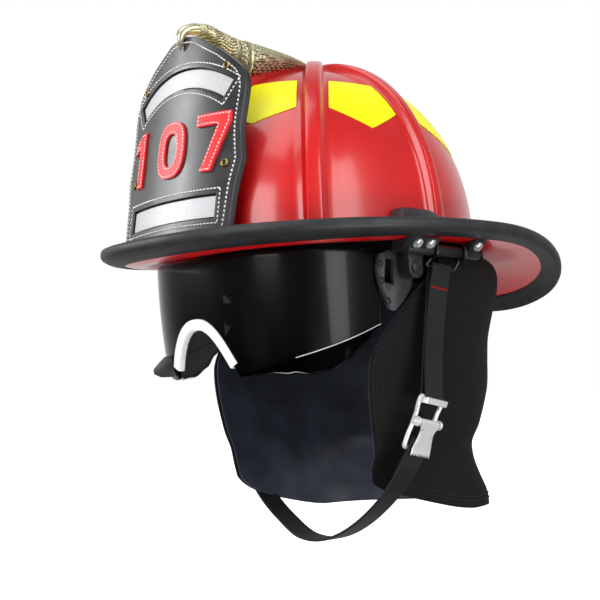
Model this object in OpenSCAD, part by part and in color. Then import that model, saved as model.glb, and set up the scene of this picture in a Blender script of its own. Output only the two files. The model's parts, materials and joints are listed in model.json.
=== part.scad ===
/* [Shell] */
// Half width of the dome at its base
dome_half_w = 100; // [96:1:104]
// Reach of the dome in front of its crown
dome_front = 133; // [131:1:135]
// Reach of the dome behind its crown
dome_rear = 132; // [128:1:138]
// Height of the dome above the head opening
dome_h = 137; // [132:1:144]
// Thickness of the moulded shell
shell_wall = 3; // [2.4:0.2:3.6]
// Width of one raised rib between its feet
rib_w = 14; // [12:1:18]
// Height of a rib at the crown
rib_h = 7.5; // [6:0.5:9]
// Angle from the front to the first pair of ribs
rib_front_a = 45; // [41:1:49]
// Angle from the front to the second pair of ribs
rib_side_a = 100; // [96:1:103]
// Half width of the brim
brim_half_w = 139; // [136:1:143]
// Reach of the brim in front of the crown
brim_front = 171; // [169:1:176]
// Reach of the brim behind the crown
brim_rear = 206; // [200:1:210]
// Height of the brim edge at the front
brim_front_z = -3; // [-5:1:0]
// Height of the brim edge at the sides
brim_side_z = 3; // [0:1:5]
// Height of the brim edge at the back
brim_rear_z = -43; // [-48:1:-36]

/* [Edge trim] */
// Height of the rubber bead round the brim
trim_h = 9; // [8:0.5:11]
// Depth of the rubber legs over the brim
trim_leg = 15; // [12:1:18]

/* [Reflective panels] */
// Thickness of a reflective panel
patch_t = 0.7; // [0.5:0.1:1]
// Distance from a rib's centre line to a panel's side edge
patch_margin = 9.5; // [9:0.5:12]

/* [Leather front] */
// Half width of the leather front at its shoulders
shield_half_w = 65; // [63:0.5:68]
// Height of the leather front from its foot to its peak
shield_h = 155; // [150:1:160]
// Radius that the leather front is bent to
shield_bend_r = 220; // [200:1:240]
// Angle that the leather front leans back
shield_lean = 9.4; // [8:0.2:10]
// Thickness of the face leather
shield_t = 2.6; // [2:0.2:3.2]
// Thickness of the leather behind the face
backing_t = 2; // [1.6:0.2:2.6]
// Half width of the lower window
plate_half_w = 49; // [44:0.5:51]
// Height of the lower window
plate_h = 17; // [15:0.5:19]
// Inner radius of the arched window
arch_r = 87.5; // [84:0.5:90]
// Height of the arched window's band
arch_h = 15.5; // [12:0.5:16]

/* [Eagle holder] */
// Length of the cast holder from tail to beak
eagle_len = 118; // [112:1:124]
// Half width of the folded wings
eagle_half_w = 14; // [12:0.5:16]

/* [Suspension] */
// Half width of the head opening
head_half_w = 75; // [72:1:77]
// Thickness of the impact liner
liner_t = 11; // [9:0.5:11.5]
// Height of the headband strip
headband_h = 30; // [26:1:34]
// Thickness of the headband strip
headband_t = 1.6; // [1.2:0.2:2]
// Radius of the ratchet knob
knob_r = 19; // [16:0.5:21]

/* [Neck protector] */
// Thickness of the outer cloth
cape_t = 2.4; // [1.8:0.2:3]
// Thickness of the lining cloth
lining_t = 1.6; // [1.2:0.2:2]

/* [Visor] */
// Half width of the lens
lens_half_w = 91.5; // [90:0.5:92]
// Thickness of the lens
lens_t = 2.4; // [2:0.2:3]
// Height of the visor's pivot
pivot_z = -24; // [-25:0.5:-23]
// Distance of the visor's pivot behind the head opening's centre
pivot_y = -8; // [-9:0.5:-7]
// Radius of the pivot pin
pivot_r = 4; // [3:0.25:5]
// Radial clearance of the pivot pin in its arm
pivot_fit = 0.08; // [0.04:0.01:0.1]

/* [Chin strap] */
// Width of the webbing
web_w = 19; // [17:0.5:20]
// Thickness of the webbing
web_t = 2; // [1.6:0.1:2.4]
// Radius of the bracket's bar
bar_r = 4.2; // [3.6:0.2:4.6]
// Radius of the wire ring that holds the strap
ring_r = 1.4; // [1.2:0.1:1.6]

/* [Hidden] */

// Running gaps and seats
seat_gap = 0.15;
body_gap = 0.4;
bore_fn = 48;

// Plan exponents: an ellipse is 2, a squarer oval is more
dome_n_front = 2.9;
dome_n_high = 2.2;
dome_n_rear = 2;
brim_n_front = 2.38;
brim_n_rear = 2.47;
dome_profile_n = 2.18;
axis_y = 3;
rib_angles = [0, rib_front_a, rib_side_a, 180, 360 - rib_side_a, 360 - rib_front_a, 360];
// Rib section across its width, as share of half width and share of height
rib_u = [-1, -0.72, -0.42, 0, 0.42, 0.72, 1];
rib_v = [0, 0.3, 0.92, 1, 0.92, 0.3, 0];
panel_cols = 4;
cols = 6 * (len(rib_u) + panel_cols);

function lerp(a, b, t) = a + (b - a) * t;
function smooth(t) = let (k = min(1, max(0, t))) k * k * (3 - 2 * k);
function front_of(a) = cos(a) > 0;
function oval(a, w, l, n) = 1 / pow(pow(abs(sin(a)) / w, n) + pow(abs(cos(a)) / l, n), 1 / n);
function at(a, r, z) = [r * sin(a), axis_y - r * cos(a), z];

// Plan radius of the dome's outer skin, squarest in front at its base, and of the brim's edge
function dome_plan(a, t = 0) = oval(a, dome_half_w, front_of(a) ? dome_front : dome_rear,
    front_of(a) ? lerp(dome_n_front, dome_n_high, min(1, t / 60)) : dome_n_rear);
function brim_plan(a) = oval(a, brim_half_w, front_of(a) ? brim_front : brim_rear,
    front_of(a) ? brim_n_front : brim_n_rear);
function brim_edge_z(a) = front_of(a)
    ? lerp(brim_side_z, brim_front_z, pow(abs(cos(a)), 1.6))
    : lerp(brim_side_z, brim_rear_z, pow(abs(cos(a)), brim_drop));
function brim_root_z(a) = brim_root_side - brim_root_front * pow(max(0, cos(a)), 1.5)
    - brim_root_rear * pow(max(0, -cos(a)), 1.5);
brim_drop = 4.6;
brim_root_side = -3;
brim_root_front = 8;
brim_root_rear = 4;
root_fillet = 8;
function brim_bend(a) = 2 - 0.75 * pow(max(0, -cos(a)), 2);
// Middle surface of the brim, s from 0 at its root to 1 at its edge
function brim_mid(a, s) = at(a, lerp(dome_plan(a) + root_fillet, brim_plan(a), s),
    lerp(brim_root_z(a), brim_edge_z(a), pow(s, brim_bend(a))));
// The same surface by the distance inward from the edge
function brim_in(a, d) = let (span = brim_plan(a) - dome_plan(a) - root_fillet)
    brim_mid(a, max(0, 1 - d / span));
// Outer skin of the dome, t in degrees from its base to its crown
function dome_at(a, t, off = 0) = at(a,
    dome_plan(a, t) * pow(cos(t), 2 / dome_profile_n) + off * cos(t),
    dome_h * pow(sin(t), 2 / dome_profile_n) + off * sin(t));

// Column angle: ribs keep their width in millimetres, panels share the rest
function rib_half_deg(r, k) = let (
        gap_before = k == 0 ? rib_front_a : rib_angles[k] - rib_angles[k - 1],
        gap_after = rib_angles[k + 1] - rib_angles[k])
    min(asin(min(0.9, rib_w / 2 / r)), 0.44 * min(gap_before, gap_after));
function col_angle(c, r) = let (
        k = floor(c / (len(rib_u) + panel_cols)),
        j = c - k * (len(rib_u) + panel_cols),
        h0 = rib_half_deg(r, k),
        h1 = rib_half_deg(r, (k + 1) % 6))
    j < len(rib_u) ? rib_angles[k] + rib_u[j] * h0
        : lerp(rib_angles[k] + h0, rib_angles[k + 1] - h1, (j - len(rib_u) + 1) / (panel_cols + 1));
function col_rib(c) = let (j = c % (len(rib_u) + panel_cols)) j < len(rib_u) ? rib_v[j] : 0;
function level_r(t) = dome_half_w * pow(cos(t), 2 / dome_profile_n);

// Faces of a closed wall made of an outer and an inner grid of m rows and n points,
// closed round each row
function ring_faces(m, n, at0, flip) = [for (i = [0 : m - 2]) for (j = [0 : n - 1])
    let (a = at0 + i * n + j, b = at0 + i * n + (j + 1) % n)
    each flip ? [[a, a + n, b + n], [a, b + n, b]] : [[a, b, b + n], [a, b + n, a + n]]];

// A cup: two grids of rings joined at their first ring, each closed by a last point
module cup(outer, inner, outer_top, inner_top) {
    n = len(outer[0]);
    m = len(outer);
    k = len(inner);
    first_in = m * n;
    tops = (m + k) * n;
    polyhedron(
        points = concat([for (r = outer) each r], [for (r = inner) each r], [outer_top, inner_top]),
        faces = concat(
            ring_faces(m, n, 0, true),
            ring_faces(k, n, first_in, false),
            [for (j = [0 : n - 1]) [(m - 1) * n + j, tops, (m - 1) * n + (j + 1) % n]],
            [for (j = [0 : n - 1]) [first_in + (k - 1) * n + j,
                first_in + (k - 1) * n + (j + 1) % n, tops + 1]],
            [for (j = [0 : n - 1]) each [[j, (j + 1) % n, first_in + (j + 1) % n],
                [j, first_in + (j + 1) % n, first_in + j]]]));
}

// A closed hoop swept through sections that all have the same number of points
module hoop(sections) {
    n = len(sections[0]);
    m = len(sections);
    polyhedron(points = [for (s = sections) each s],
        faces = [for (i = [0 : m - 1]) for (j = [0 : n - 1])
            let (a = i * n + j, b = i * n + (j + 1) % n,
                c = ((i + 1) % m) * n + j, d = ((i + 1) % m) * n + (j + 1) % n)
            each [[a, d, b], [a, c, d]]]);
}

// A bar swept through sections, closed by a flat face at each end; a section that isn't
// convex lists the convex cells of its end
module bar(sections, cells = undef) {
    n = len(sections[0]);
    m = len(sections);
    ends = is_undef(cells) ? [[for (j = [0 : n - 1]) j]] : cells;
    polyhedron(points = [for (s = sections) each s],
        faces = concat(
            ends,
            [for (i = [0 : m - 2]) for (j = [0 : n - 1])
                let (a = i * n + j, b = i * n + (j + 1) % n)
                each [[a, b + n, b], [a, a + n, b + n]]],
            [for (e = ends) [for (j = [len(e) - 1 : -1 : 0]) (m - 1) * n + e[j]]]));
}

// A sheet with thickness: two open grids of m rows and n points joined round their border
module sheet(outer, inner) {
    m = len(outer);
    n = len(outer[0]);
    g = m * n;
    polyhedron(points = concat([for (r = outer) each r], [for (r = inner) each r]),
        faces = concat(
            [for (i = [0 : m - 2]) for (j = [0 : n - 2]) let (a = i * n + j)
                each [[a, a + n + 1, a + n], [a, a + 1, a + n + 1]]],
            [for (i = [0 : m - 2]) for (j = [0 : n - 2]) let (a = g + i * n + j)
                each [[a, a + n, a + n + 1], [a, a + n + 1, a + 1]]],
            [for (j = [0 : n - 2]) each [[j, g + j + 1, j + 1], [j, g + j, g + j + 1]]],
            [for (j = [0 : n - 2]) let (a = (m - 1) * n + j)
                each [[a, g + a + 1, g + a], [a, a + 1, g + a + 1]]],
            [for (i = [0 : m - 2]) let (a = i * n) each [[a, g + a + n, g + a], [a, a + n, g + a + n]]],
            [for (i = [0 : m - 2]) let (a = i * n + n - 1)
                each [[a, g + a + n, a + n], [a, g + a, g + a + n]]]));
}

// Shell: dome, six ribs and the swept brim in one moulding
brim_rows = [1, 0.92, 0.78, 0.56, 0.33, 0.12];
fillet_rows = [0.1, 0.4, 0.7];
dome_rows = [4, 11, 18, 26, 34, 42, 50, 58, 66, 74, 82];
inner_rows = [4, 16, 28, 40, 52, 64, 74, 82];
function rib_rise(t) = lerp(rib_h * 0.75, rib_h, t / 90);
shell_edge_in = 1.4;

function shell_brim_row(s, side) = [for (c = [0 : cols - 1])
    let (r = lerp(dome_half_w + root_fillet, brim_half_w, s), a = col_angle(c, r),
        p = s == 1 ? brim_in(a, shell_edge_in) : brim_mid(a, s),
        rise = side > 0 && s < 0.2 ? 0.2 * rib_h * col_rib(c) : 0)
    [p[0], p[1], p[2] + side * shell_wall / 2 + rise]];
// Fillet between brim and dome: f runs from 0 on the brim to 1 on the dome
function fillet_pt(a, f, r) = at(a, dome_plan(a) + root_fillet - r * sin(90 * f),
    brim_root_z(a) + shell_wall / 2 + root_fillet - r * cos(90 * f));
function shell_fillet_row(f, side) = [for (c = [0 : cols - 1])
    fillet_pt(col_angle(c, dome_half_w + root_fillet * (1 - f)), f,
        side > 0 ? root_fillet - rib_h * lerp(0.25, 0.75, f) * col_rib(c) : root_fillet + shell_wall)];
function shell_dome_row(t, side) = [for (c = [0 : cols - 1])
    dome_at(col_angle(c, level_r(t)), t, side > 0 ? rib_rise(t) * col_rib(c) : -shell_wall)];

module shell() {
    color("firebrick")
    cup(
        outer = concat(
            [for (s = brim_rows) shell_brim_row(s, 1)],
            [for (f = fillet_rows) shell_fillet_row(f, 1)],
            [for (t = dome_rows) shell_dome_row(t, 1)]),
        inner = concat(
            [for (s = brim_rows) shell_brim_row(s, -1)],
            [for (f = fillet_rows) shell_fillet_row(f, -1)],
            [for (t = inner_rows) shell_dome_row(t, -1)]),
        outer_top = [0, axis_y, dome_h + rib_h],
        inner_top = [0, axis_y, dome_h - shell_wall]);
}

// Rubber channel pushed over the brim's edge
trim_fit = 0.62;
function trim_section(a) = let (
        p = brim_in(a, 0),
        q = brim_in(a, trim_leg),
        d = [q[0] - p[0], q[1] - p[1]] / norm([q[0] - p[0], q[1] - p[1]]),
        w = shell_wall / 2 + trim_fit,
        h = trim_h / 2)
    [for (uv = [[-2.2, 0], [-1.6, h * 0.7], [0.5, h], [6, h * 0.94], [trim_leg - 1, w + 1.3],
            [trim_leg, w], [10, w], [5, w], [0.8, w], [0.8, -w], [5, -w], [10, -w], [trim_leg, -w],
            [trim_leg - 1, -w - 1.3],
            [6, -h * 0.94], [0.5, -h], [-1.6, -h * 0.7]])
        let (m = uv[0] < 0 ? [p[0] + d[0] * uv[0], p[1] + d[1] * uv[0], p[2]] : brim_in(a, uv[0]))
        [m[0], m[1], m[2] + uv[1]]];

module edge_trim() {
    color("dimgray")
    hoop([for (c = [cols - 1 : -1 : 0]) trim_section(col_angle(c, brim_half_w))]);
}

// Six reflective panels, one between each pair of ribs, with a point at the lower edge
patch_top_t = 57;
patch_side_t = 40;
patch_cols = 8;
patch_rows = 4;
patch_lift = 0.45;
function patch_point(k, off) = function (u, v)
    let (a0 = rib_angles[k], a1 = rib_angles[k + 1],
        span = a1 - a0,
        t_low = lerp(patch_side_t, patch_side_t - 0.14 * span, 1 - abs(2 * u - 1)),
        t = lerp(patch_top_t, t_low, v),
        e = asin(patch_margin / level_r(t)))
    dome_at(lerp(a0 + e, a1 - e, u), t, off);
module reflective_panels() {
    color("gold")
    for (k = [0 : 5])
        sheet([for (i = [0 : patch_rows]) [for (j = [0 : patch_cols])
                patch_point(k, patch_lift + patch_t)(j / patch_cols, i / patch_rows)]],
            [for (i = [0 : patch_rows]) [for (j = [0 : patch_cols])
                patch_point(k, patch_lift)(j / patch_cols, i / patch_rows)]]);
}

// Leather front: its own frame has Z up the leather, -Y out of its face
shield_foot = [0, -150, -5];
shield_lift = 9;
module shield_place() {
    translate(shield_foot)
        rotate([-shield_lean, 0, 0])
            children();
}
// Half outline from the peak down to the foot
function shield_side() = [
    [0, shield_h], [14, shield_h - 3], [22, shield_h - 7.5], [40, shield_h - 17.5],
    [shield_half_w - 10.5, shield_h - 28], [shield_half_w - 4, shield_h - 34.5],
    [shield_half_w - 0.5, shield_h - 43], [shield_half_w, shield_h - 52],
    [shield_half_w - 1.2, shield_h - 75], [shield_half_w + 1.8, shield_h - 98],
    [shield_half_w - 2, shield_h - 118], [shield_half_w - 4, shield_h - 146],
    [shield_half_w - 7, shield_h - 153], [shield_half_w - 12, 0]];
module shield_outline() {
    right = shield_side();
    polygon(concat(right, [for (i = [len(right) - 1 : -1 : 1]) [-right[i][0], right[i][1]]]));
}
// A bent sheet of leather between two radii, cut to a flat outline
module bent_leather(r_out, t) {
    intersection() {
        translate([0, shield_bend_r, -10])
            difference() {
                cylinder(r = r_out, h = shield_h + 20, $fn = 96);
                translate([0, 0, -1]) cylinder(r = r_out - t, h = shield_h + 22, $fn = 96);
            }
        rotate([90, 0, 0])
            linear_extrude(60, center = true)
                children();
    }
}
arch_y = shield_lift + 18;
arch_half_a = 32.5;
plate_y = shield_lift + 8;
module arch_window(grow = 0) {
    half_a = arch_half_a + grow / arch_r * 57.3;
    r0 = arch_r - grow;
    r1 = arch_r + arch_h + grow;
    steps = 12;
    translate([0, arch_y])
        polygon(concat(
            [for (i = [0 : steps]) let (a = lerp(-half_a, half_a, i / steps)) r1 * [sin(a), cos(a)]],
            [for (i = [0 : steps]) let (a = lerp(half_a, -half_a, i / steps)) r0 * [sin(a), cos(a)]]));
}
module plate_window(grow = 0) {
    translate([-plate_half_w - grow, plate_y - grow])
        square([2 * (plate_half_w + grow), plate_h + 2 * grow]);
}
shield_holes = [[47.7, 124.5], [54.2, 54.5]];
rivet_r = 1.6;
rivet_head_r = 3.6;
// Places something through the bent leather at a point of its flat outline
module on_leather(p) {
    a = asin(p[0] / shield_bend_r);
    translate([0, shield_bend_r, p[1]])
        rotate([0, 0, a])
            translate([0, -shield_bend_r, 0])
                rotate([90, 0, 0])
                    children();
}
module each_rivet() {
    for (h = shield_holes)
        for (s = [-1, 1])
            on_leather([s * h[0], h[1]])
                children();
}
module shield_face() {
    color("#2a2b2e")
    shield_place()
        difference() {
            bent_leather(shield_bend_r, shield_t)
                difference() {
                    shield_outline();
                    arch_window();
                    plate_window();
                }
            each_rivet()
                cylinder(r = rivet_r, h = 20, center = true, $fn = bore_fn);
        }
}
module shield_backing() {
    color("#1d1e20")
    shield_place()
        difference() {
            bent_leather(shield_bend_r - shield_t, backing_t)
                shield_outline();
            each_rivet()
                cylinder(r = rivet_r, h = 20, center = true, $fn = bore_fn);
        }
}
panel_t = 0.8;
panel_gap = 0.1;
module shield_upper_panel() {
    color("gainsboro")
    shield_place()
        bent_leather(shield_bend_r - shield_t + panel_gap + panel_t, panel_t)
            arch_window(-0.2);
}
module shield_lower_panel() {
    color("gainsboro")
    shield_place()
        bent_leather(shield_bend_r - shield_t + panel_gap + panel_t, panel_t)
            plate_window(-0.2);
}
module shield_rivets() {
    through = shield_t + backing_t;
    color("darkgoldenrod")
    shield_place()
        each_rivet() {
            difference() {
                cylinder(r1 = rivet_head_r, r2 = rivet_head_r - 1.1, h = 1.4, $fn = bore_fn);
                translate([0, 0, 0.5]) cylinder(r = 1.5, h = 2, $fn = bore_fn);
            }
            translate([0, 0, -through - 0.3]) cylinder(r = rivet_r - 0.1, h = through + 0.4, $fn = bore_fn);
            translate([0, 0, -through - 1]) cylinder(r = rivet_head_r, h = 0.8, $fn = bore_fn);
        }
}
// Plate behind the leather that stands on the brim
foot_half = 18;
foot_t = 1.6;
foot_up = 34;
foot_lift = -0.4;
foot_deep = 6;
module shield_bracket() {
    back = shield_t + backing_t + seat_gap + foot_half * foot_half / 2 / (shield_bend_r - backing_t);
    color("#303236")
    shield_place()
        translate([-foot_half, back, foot_lift]) {
            cube([2 * foot_half, foot_t, foot_up]);
            cube([2 * foot_half, foot_deep, foot_t]);
        }
}

// Cast eagle: tail on the crown, folded wings, neck, and a beak hooked over the leather
// Each station: share of the length, share of the half width, top and bottom over the base
eagle_tail_y = -10;
eagle_seat = 84;
eagle_stations = [
    [0, 0.30, 6.5, 2.5], [0.05, 0.52, 8.2, 0.5], [0.16, 0.74, 10.6, -2.5],
    [0.3, 0.90, 12.8, -6], [0.42, 1.00, 14.3, -10], [0.5, 1.00, 15.3, -12],
    [0.535, 0.95, 16.2, -11.5], [0.55, 0.78, 15.6, -7], [0.62, 0.62, 17.4, 0],
    [0.7, 0.58, 19.6, 5], [0.76, 0.60, 21.6, 9], [0.82, 0.58, 22.6, 12.5],
    [0.865, 0.46, 22, 14.2]];
function egg(hw, top, low, y) = let (h = (top - low) / 2, mid = (top + low) / 2)
    [for (i = [0 : 15]) let (a = 22.5 * i)
        [hw * pow(abs(cos(a)), 0.8) * sign(cos(a)), y, mid + h * sin(a)]];
// The base is the crown at the tail and follows the leather's peak at the beak
function eagle_z(k) = lerp(dome_h, shield_h * cos(shield_lean) + shield_foot[2] - peak_over, k);
peak_over = 10.92;
// Beak: sections turn down round the leather's peak; each has its middle's y and height,
// half width, half height and turn
beak_stations = [
    [-116, 18.4, 3.6, 3.4, 20], [-122, 16.9, 3, 3.2, 45], [-126.6, 13.8, 2.3, 2.6, 66],
    [-128.7, 8.6, 1.6, 1.8, 84], [-128.6, 2.6, 0.8, 0.8, 92]];
module eagle_holder() {
    color("#b09a4a") {
        intersection() {
            bar(concat(
                [for (s = eagle_stations)
                    egg(eagle_half_w * s[1], eagle_z(s[0]) + s[2], eagle_z(s[0]) + s[3],
                        eagle_tail_y - eagle_len * s[0])],
                [for (b = beak_stations)
                    [for (i = [0 : 15]) let (a = 22.5 * i, u = b[3] * sin(a))
                        [b[2] * cos(a), b[0] - u * sin(b[4]), eagle_z(1) + b[1] + u * cos(b[4])]]]));
            union() {
                eagle_clear(0.35);
                translate([-60, -160, 60]) cube([120, 160 - eagle_seat, 120]);
            }
        }
    }
}
// Space above the dome's crown, to seat the holder on the shell
module eagle_clear(gap) {
    difference() {
        translate([-60, -eagle_seat - 0.5, 60]) cube([120, eagle_seat + 20, 120]);
        cup(
            outer = [for (t = [30, 42, 50, 58, 66, 74, 82]) [for (c = [0 : cols - 1])
                dome_at(col_angle(c, level_r(t)), t, rib_rise(t) * col_rib(c) + gap)]],
            inner = [for (t = [30, 42]) [for (c = [0 : cols - 1])
                dome_at(col_angle(c, level_r(t)), t, -30)]],
            outer_top = [0, axis_y, dome_h + rib_h + gap],
            inner_top = [0, axis_y, 30]);
    }
}

// Impact liner: a foam cup inside the shell that leaves room for the raised lens
liner_half_w = head_half_w + liner_t;
liner_front = 104;
liner_rear = 117;
liner_n = 2.3;
liner_h = dome_h - shell_wall - 0.3;
liner_z = -4;
function liner_row(t, off, z0) = [for (i = [0 : 39]) let (a = 9 * i)
    at(a, (oval(a, liner_half_w, front_of(a) ? liner_front : liner_rear, liner_n) - off)
            * pow(cos(t), 2 / dome_profile_n),
        z0 + (liner_h - off - z0) * pow(sin(t), 2 / dome_profile_n))];
liner_rows = [0, 14, 28, 42, 56, 70, 82];
module impact_liner() {
    color("#26282b")
    cup(
        outer = [for (t = liner_rows) liner_row(t, 0, liner_z)],
        inner = [for (t = liner_rows) liner_row(t, liner_t, liner_z)],
        outer_top = [0, axis_y, liner_h],
        inner_top = [0, axis_y, liner_h - liner_t]);
}

// Crown straps: two webbing arches that cross over the head
crown_w = 22;
crown_t_web = 1.4;
crown_h = 100;
crown_gap = 0.5;
arch_gap = 1.9;
module strap_arch(half, h) {
    outer = [for (i = [0 : 20]) let (a = 9 * i) [half * cos(a), h * pow(max(0, sin(a)), 0.85)]];
    inner = [for (i = [20 : -1 : 0]) let (a = 9 * i)
        [(half - crown_t_web) * cos(a), (h - crown_t_web) * pow(max(0, sin(a)), 0.85)]];
    rotate([90, 0, 0])
        linear_extrude(crown_w, center = true)
            polygon(concat(outer, inner));
}
module crown_straps() {
    z0 = band_z + headband_h + crown_gap;
    color("#3a3c40") {
        translate([0, axis_y, z0])
            strap_arch(head_half_w - arch_gap, crown_h);
        translate([0, axis_y + (liner_rear - liner_front) / 2, z0])
            rotate([0, 0, 90]) strap_arch((liner_front + liner_rear) / 2 - liner_t - arch_gap, crown_h);
    }
}

// Headband and its pads
band_front = 89;
band_rear = 102;
band_z = -31;
function band_r(a, off) = oval(a, head_half_w - 1.2, front_of(a) ? band_front : band_rear, 2.25) - off;
function band_pt(a, off) = [band_r(a, off) * sin(a), axis_y - band_r(a, off) * cos(a)];
module headband() {
    steps = 72;
    color("#1b1c1e")
    translate([0, 0, band_z])
        linear_extrude(headband_h)
            difference() {
                polygon([for (i = [0 : steps - 1]) band_pt(360 * i / steps, 0)]);
                polygon([for (i = [0 : steps - 1]) band_pt(360 * i / steps, headband_t)]);
            }
}
pad_t = 6;
module brow_pad() {
    pad_a = 62;
    n = 16;
    rows = [[0, 0.45], [0.12, 0.9], [0.5, 1], [0.88, 0.9], [1, 0.45]];
    color("#3d3f42")
    sheet(
        [for (r = rows) [for (i = [0 : n]) let (a = lerp(-pad_a, pad_a, i / n),
            p = band_pt(a, headband_t + 0.2))
            [p[0], p[1], band_z + headband_h - 2 - (headband_h - 4) * r[0]]]],
        [for (r = rows) [for (i = [0 : n]) let (a = lerp(-pad_a, pad_a, i / n),
            end = smooth(min(i, n - i) / 2 + 0.3),
            p = band_pt(a, headband_t + 0.2 + pad_t * r[1] * end))
            [p[0], p[1], band_z + headband_h - 2 - (headband_h - 4) * r[0]]]]);
}
// Ratchet at the nape: a toothed rack window, a pinion shaft and a fluted knob
ratchet_y = axis_y + band_rear;
ratchet_z = band_z + headband_h / 2 - 8;
housing_w = 62;
housing_h = 34;
housing_d = 9;
shaft_r = 5;
module ratchet_housing() {
    color("#17181a")
    translate([0, ratchet_y + 0.3, ratchet_z])
        difference() {
            rotate([-90, 0, 0])
                linear_extrude(housing_d)
                    offset(r = 8) square([housing_w - 16, housing_h - 16], center = true);
            translate([0, -1, 0]) rotate([-90, 0, 0])
                cylinder(r = shaft_r + shaft_fit, h = housing_d + 2, $fn = bore_fn);
        }
}
shaft_fit = 0.08;
knob_h = 11;
module ratchet_knob() {
    flutes = 18;
    color("#222326")
    translate([0, ratchet_y + 0.3, ratchet_z])
        rotate([-90, 0, 0]) {
            cylinder(r = shaft_r, h = housing_d + 0.5, $fn = bore_fn);
            translate([0, 0, housing_d + 0.4])
                difference() {
                    cylinder(r1 = knob_r, r2 = knob_r - 1.2, h = knob_h, $fn = 72);
                    for (i = [0 : flutes - 1])
                        rotate([0, 0, 360 * i / flutes])
                            translate([knob_r + 0.6, 0, -1])
                                cylinder(r = 1.8, h = knob_h + 2, $fn = 16);
                }
        }
}

// Neck protector: outer cloth and lining hang from the shell and wrap the jaw
cape_n = 2.4;
cape_y = 20;
// Level, half width, reach behind, reach in front and place of the front edge
cape_levels = [
    [-12, 97, 114, 118, 24], [-17, 101, 124, 118, 20], [-24, 102, 129, 118, 14],
    [-33, 102, 129, 118, 4], [-42, 101.5, 126, 118, -8], [-60, 100.5, 118, 118, -28],
    [-74, 99.5, 113, 119, -40], [-88, 98.5, 112, 122, -49], [-112, 95, 112, 128, -54],
    [-138, 91, 100, 126, -51], [-152, 88, 89, 118, -45], [-165, 87, 91, 100, -37],
    [-178, 88, 98, 88, -29], [-192, 90, 107, 78, -24], [-208, 92, 106, 74, -16]];
// Value of one column of the levels at a height
function level_at(z, c) = lookup(z, [for (i = [len(cape_levels) - 1 : -1 : 0])
    [cape_levels[i][0], cape_levels[i][c]]]);
function hem_z(u) = -178 - 27 * smooth(1.5 * (1 - abs(u))) + 9 * pow(abs(u), 16);
// Underside of the shell at a plan radius: the fillet's inner arc, then the brim
function shell_under_z(a, r) = let (arc = root_fillet + shell_wall,
        x = min(arc - 0.5, max(0, root_fillet - (r + facet_sag - dome_plan(a)))))
    brim_root_z(a) + shell_wall / 2 + root_fillet - sqrt(arc * arc - x * x);
// How far the shell's flat facets lie inside its true curve
facet_sag = 1.3;
// Direction of the cloth at its top edge, and the height of that edge under the shell
function cape_end_a(z) = 90 + asin(min(0.98, max(-0.98, (cape_y - level_at(z, 4)) / level_at(z, 3))));
function cape_top_z(u) = let (z = cape_levels[0][0],
        a = u * cape_end_a(z),
        r = oval(a, level_at(z, 1), abs(a) > 90 ? level_at(z, 3) : level_at(z, 2), cape_n),
        x = r * sin(a),
        y = cape_y + r * cos(a) - axis_y)
    shell_under_z(atan2(abs(x), -y), norm([x, y])) - cape_hang;
cape_hang = 0.6;
function cape_fold(u) = 2.2 * (1 - u * u) * cos(360 * 2.5 * u);
cape_rows = [0, 0.03, 0.08, 0.16, 0.27, 0.39, 0.52, 0.64, 0.74, 0.83, 0.92, 1];
function cape_pt(v, u, off) = let (
        z = lerp(cape_top_z(u), hem_z(u), v),
        front = level_at(z, 3),
        a = u * cape_end_a(z),
        low = smooth((v - 0.4) / 0.6),
        r = oval(a, level_at(z, 1) - off, (abs(a) > 90 ? front : level_at(z, 2)) - off, cape_n)
            + low * cape_fold(u))
    [r * sin(a), cape_y + r * cos(a), z];
cape_steps = 40;
module cape_layer(off, t) {
    sheet(
        [for (v = cape_rows) [for (j = [0 : cape_steps]) cape_pt(v, 1 - 2 * j / cape_steps, off)]],
        [for (v = cape_rows) [for (j = [0 : cape_steps]) cape_pt(v, 1 - 2 * j / cape_steps, off + t)]]);
}
module neck_protector() {
    color("#1c1d1f")
    cape_layer(0, cape_t);
}
module neck_protector_lining() {
    color("midnightblue")
    cape_layer(cape_t + seat_gap, lining_t);
}

// Side bracket under the brim: screw lands, a bar for the strap ring and the pivot lug
bar_x = (dome_half_w + brim_half_w) / 2 - 9.5;
bar_y = 5;
bar_z = -11.8;
bar_tilt = 2.2;
bar_front = 28;
bar_rear = 48;
land_x = bar_x - 6;
land_out = brim_half_w - trim_leg - 2.5;
// Where the lands start and end along the bracket
lands = [[-30, 2.3], [39.5, 52]];
lug_r = 7.5;
lug_out = 106;
function brim_under(x, y) = let (a = atan2(x, axis_y - y), r = norm([x, y - axis_y]),
        s = (r - dome_plan(a) - root_fillet) / (brim_plan(a) - dome_plan(a) - root_fillet))
    lerp(brim_root_z(a), brim_edge_z(a), pow(max(0, s), brim_bend(a))) - shell_wall / 2;
function land_z(x, y0, y1) = min(brim_under(x, y0), brim_under(x, y1)) - 0.35;
// Block between bar and brim, with a sloping face for the screws
function land_face(l) = [[bar_x + 3.4, bar_z - 0.4], [land_out, land_z(land_out, l[0], l[1]) - 0.5]];
module land(l) {
    translate([0, l[1], 0])
        rotate([90, 0, 0])
            linear_extrude(l[1] - l[0])
                polygon(concat(
                    [for (i = [0 : 4]) let (x = lerp(land_x, land_out, i / 4)) [x, land_z(x, l[0], l[1])]],
                    [land_face(l)[1], land_face(l)[0], [land_x, bar_z - 1.7]]));
}
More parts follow.
